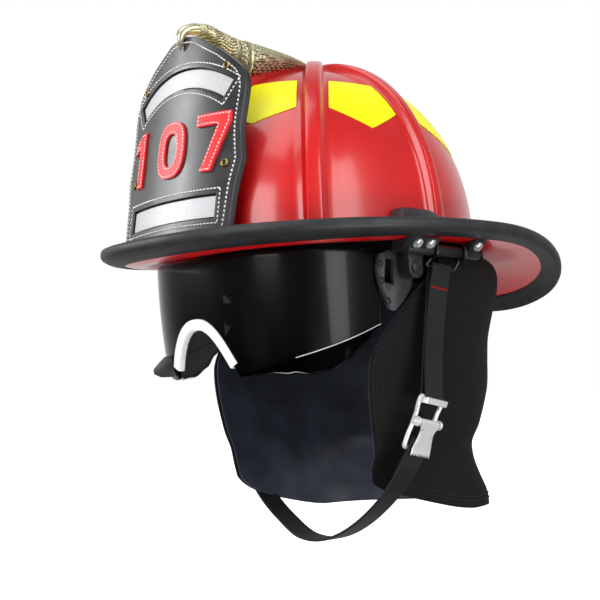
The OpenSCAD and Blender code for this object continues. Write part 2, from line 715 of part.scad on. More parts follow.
// Place along the bar, measured from its middle
module on_bar(y) {
    translate([bar_x, bar_y, bar_z])
        rotate([-90 - bar_tilt, 0, 0])
            translate([0, 0, y])
                children();
}
module bracket_left() {
    lug_in = arm_x + arm_t + body_gap;
    color("#1e1f21")
    difference() {
        union() {
            for (l = lands) land(l);
            on_bar(-bar_front) cylinder(r = bar_r, h = bar_front + bar_rear, $fn = bore_fn);
            // Lug that carries the visor pivot
            translate([lug_in, pivot_y, pivot_z])
                rotate([0, 90, 0]) cylinder(r = lug_r, h = lug_out - lug_in, $fn = bore_fn);
            translate([lug_in, pivot_y - lug_r, pivot_z])
                cube([lug_out - lug_in, 2 * lug_r, bar_z - pivot_z]);
        }
        translate([lens_half_w, pivot_y, pivot_z])
            rotate([0, 90, 0]) cylinder(r = pivot_r + pin_seat, h = 30, $fn = bore_fn);
    }
}
pin_seat = 0.03;
module bracket_right() {
    mirror([1, 0, 0]) bracket_left();
}
// Screws stand square to the sloping face: land, place along it, place up the face
screw_spots = [[0, -18.5, 0.55], [0, -5.5, 0.55], [1, 45.5, 0.5]];
module screw() {
    difference() {
        union() {
            cylinder(r = 3.9, h = 1.2, $fn = bore_fn);
            translate([0, 0, 1.2]) cylinder(r1 = 3.9, r2 = 2.5, h = 1.3, $fn = bore_fn);
        }
        for (r = [0, 90])
            rotate([0, 0, r])
                translate([-2, -0.5, 1.6]) cube([4, 1, 2]);
    }
}
module bracket_screws_left() {
    color("silver")
    for (p = screw_spots) {
        face = land_face(lands[p[0]]);
        run = face[1] - face[0];
        spot = face[0] + p[2] * run;
        translate([spot[0], p[1], spot[1]])
            rotate([0, 180 - atan2(run[1], run[0]), 0])
                translate([0, 0, 0.05])
                    screw();
    }
}
module bracket_screws_right() {
    mirror([1, 0, 0]) bracket_screws_left();
}
// Moulded cap over the bracket's fixings, seated where the brim meets the dome
cap_y = -9;
cap_len = 44;
cap_top = [[-22, 7], [-14, 17], [0, 19.5], [8, 18.5], [16, 15.5], [22, 11]];
// Section across the shell's outer skin at a place along the cap, a seat's gap outside it
function skin_a(y, r) = acos((axis_y - y) / r);
function cap_seat(y) = let (
        brim = [for (s = [0.6, 0.3, 0.05]) brim_mid(skin_a(y, lerp(dome_half_w + root_fillet, brim_half_w, s)), s)
            + [0, 0, shell_wall / 2 + cap_gap]],
        fillet = [for (f = [0.1, 0.4, 0.7])
            fillet_pt(skin_a(y, dome_half_w + root_fillet * (1 - sin(90 * f))), f, root_fillet - cap_gap)],
        wall = [for (t = [4, 11, 18]) dome_at(skin_a(y, level_r(t)), t, cap_gap)])
    concat([for (p = concat(brim, fillet, wall)) [p[0], y, p[2]]],
        [[dome_half_w - 20, y, dome_h / 3], [dome_half_w - 20, y, -30], [brim_half_w, y, -30]]);
cap_gap = 0.25;
cap_out = lerp(dome_half_w + root_fillet, brim_half_w - trim_leg, 0.56);
module bracket_cap_left() {
    color("#202124")
    difference() {
        translate([0, cap_y, 0])
            intersection() {
                rotate([90, 0, 0])
                    linear_extrude(cap_len, center = true)
                        polygon([[dome_half_w - 1.5, 7], [dome_half_w + 5, -2], [cap_out, -2],
                            [cap_out - 1, 8], [cap_out - 7, 16.5], [dome_half_w - 1.5, 20]]);
                rotate([90, 0, 90])
                    linear_extrude(2 * dome_half_w)
                        polygon(concat([[-cap_len / 2, -8]], cap_top, [[cap_len / 2, -8]]));
            }
        bar([for (i = [4 : -1 : -4]) cap_seat(cap_y + cap_len * 0.6 * i / 4)]);
    }
}
module bracket_cap_right() {
    mirror([1, 0, 0]) bracket_cap_left();
}

// Wire ring: two eyes round the bar, two legs and a lower side that carries the strap
ring_half = 14.8;
ring_top_y = 19;
ring_foot = [bar_x - 1.5, 12.8, -24.5];
module rod(p, q, r) {
    d = q - p;
    translate(p)
        rotate([0, acos(d[2] / norm(d)), atan2(d[1], d[0])])
            cylinder(r = r, h = norm(d), $fn = 20);
}
ring_eye = bar_r + ring_r + 0.15;
// The legs are drawn thinner than the eyes
ring_leg_r = ring_r - 0.12;
function ring_head(s) = [bar_x, ring_top_y + s * ring_half, bar_z - ring_eye
    - (ring_top_y - bar_y) * tan(bar_tilt)];
function ring_corner(s) = ring_foot + [0, s * ring_half, -s * ring_half * 0.13];
module strap_ring_left() {
    color("#4a4c50") {
        for (s = [-1, 1]) {
            on_bar(ring_top_y - bar_y + s * ring_half)
                rotate_extrude($fn = 36) translate([ring_eye, 0]) circle(r = ring_r, $fn = 14);
            rod(ring_head(s), ring_corner(s), ring_leg_r);
            translate(ring_corner(s)) sphere(r = ring_r, $fn = 20);
        }
        rod(ring_corner(-1), ring_corner(1), ring_leg_r);
    }
}
module strap_ring_right() {
    mirror([1, 0, 0]) strap_ring_left();
}

// Visor lens: a wrap-round sheet with its lower edge turned in below a crease
lens_n = 2.75;
lens_y = -30;
lens_front = 95.5;
lens_top_z = -12;
// Fall of the crease and depth of the turned-in lip along the half width
function lens_pull(z) = 0.0012 * pow(min(0, z - lens_top_z), 2);
function crease_z(u) = lerp(-98, -62.5, pow(abs(u), 1.45));
lip_drop = [[0, 0], [0.2, 0], [0.3, 3], [0.4, 6.2], [0.5, 11], [0.6, 15.5], [0.7, 17], [0.8, 14.5],
    [0.9, 8.5], [1, 1.5]];
lens_rows = [0, 0.3, 0.6, 0.85, 1];
function lens_pt(u, v, off) = let (
        r = oval(90 * abs(u), lens_half_w - off, lens_front - off, lens_n),
        z = lerp(lens_top_z, crease_z(u), v),
        k = 1 - lens_pull(z) / lens_front)
    [sign(u) * r * sin(90 * abs(u)) * lerp(1, k, 0.3), lens_y - r * cos(90 * u) * k, z];
function lip_pt(u, off) = let (p = lens_pt(u, 1, off), d = 0.6 + lookup(abs(u), lip_drop),
        c = [p[0], p[1] - lens_y], n = c / norm(c))
    [p[0] - n[0] * d * 0.5, p[1] - n[1] * d * 0.5, p[2] - d];
lens_steps = 44;
module lens_sheet(off, t) {
    sheet(
        [for (v = [0 : len(lens_rows)]) [for (j = [0 : lens_steps])
            let (u = 2 * j / lens_steps - 1)
            v < len(lens_rows) ? lens_pt(u, lens_rows[v], off) : lip_pt(u, off)]],
        [for (v = [0 : len(lens_rows)]) [for (j = [0 : lens_steps])
            let (u = 2 * j / lens_steps - 1)
            v < len(lens_rows) ? lens_pt(u, lens_rows[v], off + t) : lip_pt(u, off + t)]]);
}
// Arch that clears the nose: its middle line, by the distance from the centre
nose_top_z = -60;
nose_slope = 1.16;
nose_round = 9.5;
nose_half = 36;
function nose_z(x) = nose_top_z - nose_slope * (norm([x, nose_round]) - nose_round);
nose_low_z = nose_z(nose_half) - 30;
module nose_cut() {
    translate([0, lens_y - 0.6 * lens_front, 0])
        rotate([90, 0, 0])
            linear_extrude(0.6 * lens_front)
                polygon(concat([for (i = [-12 : 12]) let (x = nose_half * i / 12) [x, nose_z(x)]],
                    [[nose_half, nose_low_z], [-nose_half, nose_low_z]]));
}
module visor_lens() {
    color("#8a9096", 0.45)
    difference() {
        lens_sheet(0, lens_t);
        nose_cut();
    }
}
// Soft white channel along the arch
nose_steps = 24;
nose_end = nose_half - 3.4;
function lens_y_at(x, z) = let (p = 1 - lens_pull(z) / lens_front)
    lens_y - lens_front * p * pow(1 - pow(abs(x) / (lens_half_w * lerp(1, p, 0.3)), lens_n), 1 / lens_n);
function nose_frame(x) = let (
        dz = (nose_z(x + 0.5) - nose_z(x - 0.5)),
        n = [-dz, 1] / norm([dz, 1]))
    [x, lens_y_at(x, nose_z(x)), nose_z(x), n[0], n[1]];
function nose_section(x) = let (f = nose_frame(x), w = lens_t / 2 + 0.55)
    [for (uv = [[-2.8, -w - 1.5], [-2.8, w + 1.5], [4.2, w + 1.5], [5, w], [-0.5, w], [-0.5, -w], [5, -w], [4.2, -w - 1.5]])
        [f[0] + f[3] * uv[0], f[1] + lens_t / 2 + uv[1], f[2] + f[4] * uv[0]]];
module visor_nose_trim() {
    color("white")
    bar([for (i = [0 : nose_steps]) nose_section(lerp(-nose_end, nose_end, i / nose_steps))],
        cells = [[1, 2, 3, 4], [0, 1, 4, 5], [0, 5, 6, 7]]);
}
// Arm plates at the lens's rear corners, with a window and the pivot eye
arm_t = 3;
arm_x = lens_half_w + seat_gap;
eye_r = 9.5;
module visor_arm_left() {
    color("#5b5e62")
    translate([arm_x, 0, 0])
        difference() {
            rotate([90, 0, 90])
                linear_extrude(arm_t)
                    difference() {
                        union() {
                            polygon([[-29, -13], [-24, -11], [pivot_y, pivot_z + eye_r], [pivot_y + 8.5, -30],
                                [-2, -37], [-10.8, -47], [-20, -54], [-24, -53], [-27.5, -47], [-33, -36],
                                [-35.5, -25], [-33, -14]]);
                            translate([pivot_y, pivot_z]) circle(r = eye_r, $fn = bore_fn);
                        }
                        polygon([[-27, -17], [-19, -17.5], [-19.5, -36], [-29.5, -34]]);
                    }
            translate([-1, pivot_y, pivot_z])
                rotate([0, 90, 0]) cylinder(r = pivot_r + pivot_fit, h = arm_t + 2, $fn = bore_fn);
            each_arm_rivet() cylinder(r = arm_rivet_r + 0.1, h = 40, center = true, $fn = bore_fn);
        }
}
module visor_arm_right() {
    mirror([1, 0, 0]) visor_arm_left();
}
// Rivets that hold the lens's corner to its arm
arm_rivet_r = 1.5;
arm_rivet_spots = [[-32.6, -21], [-31.6, -33], [-26.2, -47]];
module each_arm_rivet() {
    for (p = arm_rivet_spots)
        translate([0, p[0], p[1]])
            rotate([0, 90, 0])
                children();
}
module visor_rivets_left() {
    color("#2f3133")
    translate([arm_x, 0, 0])
        each_arm_rivet() {
            cylinder(r = arm_rivet_r, h = arm_t + 0.1, $fn = bore_fn);
            translate([0, 0, arm_t + 0.05]) cylinder(r1 = 2.6, r2 = 1.8, h = 1, $fn = bore_fn);
        }
}
module visor_rivets_right() {
    mirror([1, 0, 0]) visor_rivets_left();
}
// Grip tab: a fin that clips over the lens's edge at the wearer's right of the nose
tab_t = 2.6;
module visor_grip_tab() {
    color("#3a3c3e")
    difference() {
        translate([-40.5, -115.6, -90.5])
            rotate([0, 0, 58])
                rotate([90, 0, 180])
                    linear_extrude(tab_t, center = true)
                        polygon([[-0.5, -3], [9, -3], [14, -0.5], [14.5, 3], [10, 8], [6, 12], [-0.5, 13]]);
        lens_sheet(-0.15, lens_t + 0.3);
    }
}
module pivot_pin_left() {
    color("#2c2d30")
    translate([arm_x - 2, pivot_y, pivot_z])
        rotate([0, 90, 0]) {
            cylinder(r = pivot_r, h = lug_out - arm_x + 2.8, $fn = bore_fn);
            cylinder(r = pivot_r + 3, h = 2 - body_gap, $fn = bore_fn);
        }
}
module pivot_pin_right() {
    mirror([1, 0, 0]) pivot_pin_left();
}

// Buckle: a wire frame, and a cam lever that pinches the strap
buckle_top = [110.6, -4.3, -116.3];
buckle_tilt = -12;
buckle_lean = 18;
function turn_x(v, a) = [v[0], v[1] * cos(a) - v[2] * sin(a), v[1] * sin(a) + v[2] * cos(a)];
function turn_y(v, a) = [v[0] * cos(a) + v[2] * sin(a), v[1], v[2] * cos(a) - v[0] * sin(a)];
function buckle_at(v) = buckle_top + turn_y(turn_x(v, buckle_tilt), buckle_lean);
buckle_side = turn_y(turn_x([0, 1, 0], buckle_tilt), buckle_lean);
frame_w = web_w + 5;
frame_h = 37;
wire = 1.6;
lever_up = 17;
lever_out = 4.4;
pin_r = 1.2;
// Chin strap: route of its middle line, near side first
strap_route = [
    buckle_at([3, 0, -23]), buckle_at([3, 0, -38]),
    [100.5, -18.5, -160], [97.5, -22.9, -170], [92.5, -26.6, -178.5], [85, -29.2, -187],
    [73.5, -29, -195.5], [58, -26, -204], [43, -23, -210.5], [28, -19.5, -215.5], [13, -16, -219],
    [0, -13, -220.5], [-18, -8, -221], [-36, -2, -219], [-51, 3, -214.3], [-66, 6, -208],
    [-80, 8.5, -200.5], [-92, 9.5, -191], [-101, 10, -179.5], [-107.5, 10.5, -165], [-112, 11, -148],
    [-112.4, 11.5, -120], [-111.2, 12, -84], [-110, 12.5, -54.8]];
// Rectangle of webbing square to the way from p to q, wide along y
function web_section(p, q, w, t, side = [0, 1, 0]) = let (d = (q - p) / norm(q - p),
        y = (side - (side * d) * d) / norm(side - (side * d) * d),
        n = cross(d, y))
    [for (s = [[-1, -1], [1, -1], [1, 1], [-1, 1]]) (p + q) / 2 + y * (w / 2 * s[0]) + n * (t / 2 * s[1])];
module strap_lower() {
    color("#202124")
    bar([for (i = [0 : len(strap_route) - 2])
        web_section(strap_route[i], strap_route[i + 1], web_w, web_t)]);
}
// A sewn loop of webbing round two rods: its plies lie close between them.
// top and low are the rods' centres, side_a and side_b their directions
module sewn_loop(top, low, side_a, side_b, r_a, r_b, bow, nip) {
    steps = 7;
    ends = 6;
    down = (low - top) / norm(low - top);
    out = cross(side_a, down) / norm(cross(side_a, down));
    gap = (web_t * 0.5 + nip) / 2;
    ra = r_a + web_t * 0.4;
    rb = r_b + web_t * 0.4;
    path = concat(
        [for (i = [0 : ends]) let (a = 180 * i / ends) [top, side_a, -ra * cos(a) * out - ra * sin(a) * down]],
        [for (i = [1 : steps]) let (k = i / (steps + 1)) [lerp(top, low, k), lerp(side_a, side_b, k),
            (bow * sin(180 * k) + lerp(lerp(ra, rb, k), gap + web_t * 0.1, pow(sin(180 * k), 0.5))) * out]],
        [for (i = [0 : ends]) let (a = 180 * i / ends) [low, side_b, rb * cos(a) * out + rb * sin(a) * down]],
        [for (i = [steps : -1 : 1]) let (k = i / (steps + 1)) [lerp(top, low, k), lerp(side_a, side_b, k),
            (bow * sin(180 * k) - lerp(lerp(ra, rb, k), gap + web_t * 0.1, pow(sin(180 * k), 0.5))) * out]]);
    n = len(path);
    function mid(i) = path[i % n][0] + path[i % n][2];
    hoop([for (i = [0 : n - 1]) web_section(mid(i), mid(i + 1), web_w, web_t * 0.7, path[i][1])]);
}
ring_side = (ring_corner(1) - ring_corner(-1)) / norm(ring_corner(1) - ring_corner(-1));
module strap_loop_left() {
    color("#202124")
    sewn_loop(ring_foot, buckle_top, ring_side, buckle_side, ring_r + 0.4, wire + 0.4, 1.5, 0.3);
}
module strap_loop_right() {
    color("#202124")
    mirror([1, 0, 0])
        sewn_loop(ring_foot, [110.5, 12.4, -66], ring_side, [0, 1, 0], ring_r + 0.4, web_t * 0.8, 0.3, web_t);
}
// Slider on the far side that gathers the strap's folded tail
module strap_end_loop() {
    color("#26282b")
    translate([-106.8, 10.5, -165])
        rotate([0, -24, 0])
            difference() {
                cube([web_t + 4.6, web_w + 4, 8], center = true);
                cube([web_t + 1.6, web_w + 1, 12], center = true);
            }
}

module buckle_place() {
    translate(buckle_top)
        rotate([buckle_tilt, buckle_lean, 0])
            children();
}
module buckle_frame() {
    color("silver")
    buckle_place() {
        for (s = [-1, 1])
            translate([0, s * frame_w / 2, -frame_h]) cylinder(r = wire, h = frame_h, $fn = 20);
        for (z = [0, -frame_h])
            translate([0, -frame_w / 2, z]) rotate([-90, 0, 0]) cylinder(r = wire, h = frame_w, $fn = 20);
        // Ears that carry the lever's pin
        for (s = [-1, 1])
            difference() {
                translate([-wire, s * (frame_w / 2 - 0.4) - 0.8, -lever_up - 3.5]) cube([lever_out + wire + 2.6, 1.6, 7]);
                translate([lever_out, 0, -lever_up])
                    rotate([90, 0, 0]) cylinder(r = pin_r + pin_seat, h = 60, center = true, $fn = bore_fn);
            }
    }
}
module buckle_pin() {
    color("gray")
    buckle_place()
        translate([lever_out, -frame_w / 2 - 1.4, -lever_up])
            rotate([-90, 0, 0]) cylinder(r = pin_r, h = frame_w + 2.8, $fn = bore_fn);
}
lever_w = frame_w - 5;
lever_len = 24;
module buckle_lever() {
    color("silver")
    buckle_place()
        translate([lever_out, 0, -lever_up])
            difference() {
                union() {
                    rotate([90, 0, 0]) cylinder(r = 2.8, h = lever_w, center = true, $fn = bore_fn);
                    translate([0.8, 0, 0])
                        rotate([90, 0, 90])
                            linear_extrude(1.6)
                                polygon([[-lever_w / 2, 0], [-lever_w / 2 + 2.5, -6], [-lever_w / 2, -lever_len],
                                    [lever_w / 2, -lever_len], [lever_w / 2 - 2.5, -6], [lever_w / 2, 0]]);
                }
                rotate([90, 0, 0]) cylinder(r = pin_r + 0.08, h = 60, center = true, $fn = bore_fn);
            }
}

shell();
edge_trim();
reflective_panels();
shield_face();
shield_backing();
shield_upper_panel();
shield_lower_panel();
shield_rivets();
shield_bracket();
eagle_holder();
impact_liner();
crown_straps();
headband();
brow_pad();
ratchet_housing();
ratchet_knob();
neck_protector();
neck_protector_lining();
bracket_left();
bracket_right();
bracket_screws_left();
bracket_screws_right();
bracket_cap_left();
bracket_cap_right();
strap_ring_left();
strap_ring_right();
visor_lens();
visor_nose_trim();
visor_arm_left();
visor_arm_right();
visor_rivets_left();
visor_rivets_right();
visor_grip_tab();
pivot_pin_left();
pivot_pin_right();
strap_loop_left();
strap_loop_right();
strap_lower();
strap_end_loop();
buckle_frame();
buckle_lever();
buckle_pin();
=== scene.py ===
# %% [markdown]
# A traditional fire helmet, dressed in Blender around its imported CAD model.
# The frame comes first: every piece below is placed in the same metres and the same axes as the CAD,
# with the wearer's left at +X, the front at -Y and the centre of the head opening at the origin.

# %% Load the frame
import json
import math

import bpy
from mathutils import Matrix, Vector

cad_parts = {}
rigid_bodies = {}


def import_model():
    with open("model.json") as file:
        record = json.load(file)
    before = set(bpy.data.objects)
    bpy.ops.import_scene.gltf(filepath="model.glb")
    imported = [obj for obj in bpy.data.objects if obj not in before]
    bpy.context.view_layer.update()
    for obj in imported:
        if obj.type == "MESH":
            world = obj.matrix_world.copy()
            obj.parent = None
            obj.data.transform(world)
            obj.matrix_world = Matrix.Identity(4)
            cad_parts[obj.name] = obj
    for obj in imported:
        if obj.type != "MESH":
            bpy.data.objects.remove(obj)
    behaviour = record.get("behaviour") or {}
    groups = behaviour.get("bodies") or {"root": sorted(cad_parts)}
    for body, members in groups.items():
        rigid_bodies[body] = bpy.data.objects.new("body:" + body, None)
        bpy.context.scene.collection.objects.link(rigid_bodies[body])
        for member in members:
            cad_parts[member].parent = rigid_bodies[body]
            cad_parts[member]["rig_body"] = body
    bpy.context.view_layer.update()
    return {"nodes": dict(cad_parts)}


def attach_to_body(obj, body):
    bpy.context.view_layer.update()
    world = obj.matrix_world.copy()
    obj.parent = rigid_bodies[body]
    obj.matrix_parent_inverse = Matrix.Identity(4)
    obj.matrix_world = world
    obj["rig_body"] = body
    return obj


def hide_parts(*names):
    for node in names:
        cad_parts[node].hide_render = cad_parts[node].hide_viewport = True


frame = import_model()
nodes = frame["nodes"]
MM = 0.001

# %% [markdown]
# The camera stands where the photographer stood: a little below the brim, in front of the wearer's left.
# Its three directions were solved from pairs of points that mirror each other on the helmet,
# so they are written as directions and not as angles.

# %% Camera
camera_right = Vector((0.659995, 0.750039, -0.042997))
camera_up = Vector((0.075155, -0.008970, 0.997131))
camera_back = Vector((0.747501, -0.661333, -0.062289))
camera_place = Vector((672.636, -619.952, -95.329)) * MM

camera_data = bpy.data.cameras.new("camera")
camera_data.lens, camera_data.sensor_width = 71.09, 36
camera_data.clip_start, camera_data.clip_end = 0.05, 20
camera = bpy.data.objects.new("camera", camera_data)
bpy.context.scene.collection.objects.link(camera)
turn = Matrix((camera_right, camera_up, camera_back)).transposed().to_4x4()
camera.matrix_world = Matrix.Translation(camera_place) @ turn
bpy.context.scene.camera = camera
print("camera", round(camera_place.length, 3), "m from the head opening")

# %% [markdown]
# A node tree is easier to read when each line adds one node with what it is set to and what feeds it.
# A pattern is a pair, the node and its output. Colours are the sRGB hex values a painter would pick.

# %% Small helpers for materials
def linear(hex_colour):
    """sRGB hex to the linear RGBA that a shader works in."""
    parts = [int(hex_colour[i:i + 2], 16) / 255 for i in (1, 3, 5)]
    return tuple(c / 12.92 if c <= 0.04045 else ((c + 0.055) / 1.055) ** 2.4 for c in parts) + (1,)


def add(tree, kind, settings=None, **inputs):
    """Adds a shader node. settings are its properties; inputs are values, or patterns to link."""
    made = tree.nodes.new("ShaderNode" + kind)
    for name, value in (settings or {}).items():
        setattr(made, name, value)
    for name, value in inputs.items():
        key = int(name[1:]) if name[0] == "_" else name.replace("_", " ")
        if isinstance(value, tuple) and isinstance(value[0], bpy.types.Node):
            tree.links.new(value[0].outputs[value[1]], made.inputs[key])
        else:
            made.inputs[key].default_value = value
    return made


def calculate(tree, operation, *values, **settings):
    """A maths node on values or patterns, as a pattern."""
    inputs = {"_%d" % k: value for k, value in enumerate(values)}
    return add(tree, "Math", {"operation": operation, **settings}, **inputs), "Value"


def ramp(tree, pattern, low, high, start=0.0, end=1.0, **settings):
    """A pattern's stretch from low to high, mapped to start and end and held there beyond."""
    return add(tree, "MapRange", settings, Value=pattern, From_Min=low, From_Max=high,
               To_Min=start, To_Max=end), "Result"


def grain(tree, size_mm, kind, randomness=1.0):
    """A pattern of grain so large: noise if kind is its detail, or else cells of that kind."""
    where = (add(tree, "TexCoord"), "Object")
    scale = 1 / (size_mm * MM)
    if isinstance(kind, str):
        return add(tree, "TexVoronoi", {"feature": kind}, Vector=where, Scale=scale,
                   Randomness=randomness), "Distance"
    return add(tree, "TexNoise", None, Vector=where, Scale=scale, Detail=kind), "Fac"


def finish(name, colour, **shader):
    """A material with one Principled shader of a plain colour, for a pattern to be linked into."""
    material = bpy.data.materials.new(name)
    material.use_nodes = True
    tree = material.node_tree
    bsdf = tree.nodes["Principled BSDF"]
    material.diffuse_color = bsdf.inputs["Base Color"].default_value = linear(colour)
    for socket, value in shader.items():
        bsdf.inputs[socket.replace("_", " ")].default_value = value
    return material, tree, bsdf


def two_tone(tree, bsdf, pattern, dark, light, low=0.35, high=0.65):
    """Colours the shader between two hex colours by a pattern."""
    mix = add(tree, "Mix", {"data_type": "RGBA"}, _0=ramp(tree, pattern, low, high),
              _6=linear(dark), _7=linear(light))
    tree.links.new(mix.outputs[2], bsdf.inputs["Base Color"])


def roughness_by(tree, bsdf, pattern, start, end, low=0.3, high=0.7):
    """Lets a pattern move the roughness between two values."""
    node, output = ramp(tree, pattern, low, high, start, end)
    tree.links.new(node.outputs[output], bsdf.inputs["Roughness"])


def relief(tree, bsdf, pattern, depth_mm, strength):
    """Raises the shader's surface by a pattern, depth in millimetres."""
    bump = add(tree, "Bump", None, Height=pattern, Distance=depth_mm * MM, Strength=strength)
    tree.links.new(bump.outputs["Normal"], bsdf.inputs["Normal"])


def surface(name, colour, tone=None, rough=None, bump=None, **shader):
    """A finish whose tone, roughness and relief each follow a grain: (grain, then the two ends)."""
    material, tree, bsdf = finish(name, colour, **shader)
    for rule, given in ((two_tone, tone), (roughness_by, rough), (relief, bump)):
        if given:
            rule(tree, bsdf, grain(tree, *given[0]), *given[1:])
    return material


print("helpers ready; helmet red is", [round(c, 3) for c in linear("#C40D0F")])

# %% [markdown]
# The shell is moulded thermoplastic with a wet clear coat, so it shows a soft white reflection
# along its shoulders. A very low, wide waviness keeps those reflections from looking machined.
# The brim's edge sits in an extruded rubber channel, nearly matt, speckled and never a pure black.
# The panels between the ribs are prismatic film: a clear yellow layer over tiny cube corners, drawn
# at three millimetres, wider than the real ones, so that they can show at all.

# %% Shell paint, edge rubber and reflective film
shell_paint = surface("gloss_red_clearcoat_thermoplastic", "#C60A0C", ((60, 3.0), "#BE090B", "#CC0C0E"),
                      None, ((9, 1.5), 0.04, 0.5), Roughness=0.34, Coat_Weight=0.8, Coat_Roughness=0.16,
                      IOR=1.49)
edge_rubber = surface("extruded_epdm_rubber", "#3B3D3F", ((14, 2.0), "#1F2022", "#292A2C"),
                      ((0.9, 3.0), 0.4, 0.62), ((0.9, 3.0), 0.12, 0.5), Roughness=0.5, IOR=1.52)
film_cells = (3, "F1", 0.15)
yellow_film = surface("prismatic_yellow_film", "#F6EE06", (film_cells, "#FFFA06", "#F8EF02", 0.2, 0.8),
                      None, (film_cells, 0.006, 0.1), Roughness=0.4, IOR=1.35, Coat_Weight=0.1,
                      Coat_Roughness=0.3)
print("made", shell_paint.name, edge_rubber.name, yellow_film.name)

# %% [markdown]
# The front is cut from vegetable-tanned hide, dyed charcoal and rolled smooth. What gives leather
# away is its fine pebble, a soft change of sheen over a few centimetres and a matt, darker cut edge.

# %% Leather, windows and appliqué
def make_leather(name, dark, light, rough):
    hide, pebble = (22, 4.0), (1.3, "DISTANCE_TO_EDGE")
    return surface(name, light, (hide, dark, light), (hide, rough - 0.06, rough + 0.1),
                   (pebble, 0.08, 0.35), Roughness=rough, IOR=1.5, Coat_Weight=0.4, Coat_Roughness=0.3)


leather_face = make_leather("charcoal_dyed_leather", "#222325", "#2E2F31", 0.34)
leather_back = make_leather("black_dyed_leather", "#121314", "#1C1D1E", 0.55)
glass_beads, pores = (0.8, "F1"), (1.1, 3.0)
silver_window = surface("glass_bead_silver_film", "#D6D7D9", (glass_beads, "#C9CACC", "#B2B4B6", 0.1, 0.7),
                        None, (glass_beads, 0.04, 0.3), Roughness=0.42, Metallic=0.15)
red_hide = surface("red_dyed_split_leather", "#E81F26", (pores, "#DC181F", "#F0262D"), None,
                   (pores, 0.1, 0.4), Roughness=0.42, IOR=1.5)
print("made", leather_face.name, silver_window.name, red_hide.name)

# %% [markdown]
# The eagle is sand-cast brass that was darkened and then rubbed back: bright on what stands proud,
# brown to black in the cuts. The carving writes how deep each point lies into an attribute,
# and the finish reads that, so the dark stays in the cuts from every side.

# %% Metals
def make_antique_brass():
    material, tree, bsdf = finish("antiqued_cast_brass", "#BFA85E", Metallic=0.7, Roughness=0.4)
    deep = add(tree, "Attribute", {"attribute_name": "depth"}), "Fac"
    grime = grain(tree, 2.5, 4.0)
    shade = calculate(tree, "MULTIPLY_ADD", grime, 0.45, deep)
    two_tone(tree, bsdf, shade, "#D9D4B0", "#57512F", 0.5, 1.15)
    roughness_by(tree, bsdf, shade, 0.24, 0.62, 0.3, 1.0)
    relief(tree, bsdf, grime, 0.12, 0.4)
    return material


def make_metal(name, colour, rough, grain_mm, depth, metallic=1.0):
    worn = (grain_mm, 3.0)
    return surface(name, colour, None, (worn, rough * 0.85, rough * 1.2), depth and (worn, depth, 0.3),
                   Metallic=metallic, Roughness=rough)


antique_brass = make_antique_brass()
eyelet_brass = make_metal("aged_brass_eyelet", "#A39259", 0.35, 1.2, 0.05)
zinc_steel = make_metal("zinc_plated_steel", "#D6D8DA", 0.28, 12, 0, 0.7)
buckle_steel = make_metal("polished_nickel_steel", "#E6E7E8", 0.3, 14, 0, 0.5)
dark_wire = make_metal("black_oxide_steel_wire", "#4A4B4E", 0.38, 0.7, 0.03)
print("made", antique_brass.name, zinc_steel.name, buckle_steel.name)

# %% [markdown]
# Moulded parts differ mostly in their skin: glass-filled nylon is spark-eroded to a fine matt grain,
# soft rubber is smooth, and the foam inside is a mass of tiny beads pressed together. The lens is
# smoke-tinted polycarbonate, a dark grey filter. Its cut edge is an opaque light grey, a painted highlight for
# the bright edge.

# %% Plastics, rubber, foam and thread
def make_moulded(name, dark, light, rough, grain_mm, depth, **shader):
    cloud = (18, 2.0)
    return surface(name, light, (cloud, dark, light), (cloud, rough - 0.05, rough + 0.08),
                   ((grain_mm, 2.0), depth, 0.4), Roughness=rough, **shader)


bracket_nylon = make_moulded("glass_filled_nylon", "#17181A", "#232427", 0.36, 0.6, 0.06)
arm_nylon = make_moulded("grey_moulded_nylon", "#2C2E30", "#3A3C3F", 0.36, 0.6, 0.05)
cap_nylon = make_moulded("satin_black_nylon", "#202225", "#2C2E31", 0.38, 0.7, 0.05)
band_plastic = make_moulded("black_polyethylene", "#141516", "#1E1F21", 0.45, 0.8, 0.05)
nose_rubber = make_moulded("soft_white_elastomer", "#D9DBDC", "#E9EAEB", 0.4, 1.0, 0.03,
                           Subsurface_Weight=0.2, Subsurface_Scale=0.002)
# The lens's cut edge and its fine beads are painted light grey: a painted highlight, not the clear plastic's
# own colour.
lens_edge_painted_highlight = make_moulded("light_grey_painted_lens_highlight", "#C4C6C8", "#E2E3E5", 0.2, 1.0, 0.02)
seam_thread = make_moulded("white_bonded_thread", "#D4D4D0", "#F2F2EE", 0.55, 0.5, 0.05)
red_thread = make_moulded("red_bonded_thread", "#8E1216", "#C2181E", 0.6, 0.5, 0.05)
dark_thread = make_moulded("black_bonded_thread", "#101011", "#202123", 0.6, 0.5, 0.05)
foam_beads, flow = (3, "F1"), (35, 1.0)
bead_foam = surface("pressed_bead_foam", "#232527", (foam_beads, "#17181A", "#0A0A0B", 0.2, 0.8), None,
                    (foam_beads, 0.5, 0.5), Roughness=0.9)
smoke_lens = surface("smoke_tinted_polycarbonate", "#26282A", (flow, "#222426", "#2A2C2E"), None,
                     (flow, 0.05, 0.2), Roughness=0.02, IOR=1.2, Transmission_Weight=1.0,
                     Coat_Weight=0.4, Coat_Roughness=0.26, Coat_IOR=1.55)
print("made", bracket_nylon.name, nose_rubber.name, bead_foam.name, smoke_lens.name)

# %% [markdown]
# Cloth and webbing read their own UV map, which is laid out in metres along the threads.
# A weave is the product of two waves: where warp and weft both rise, a knuckle of yarn stands up.

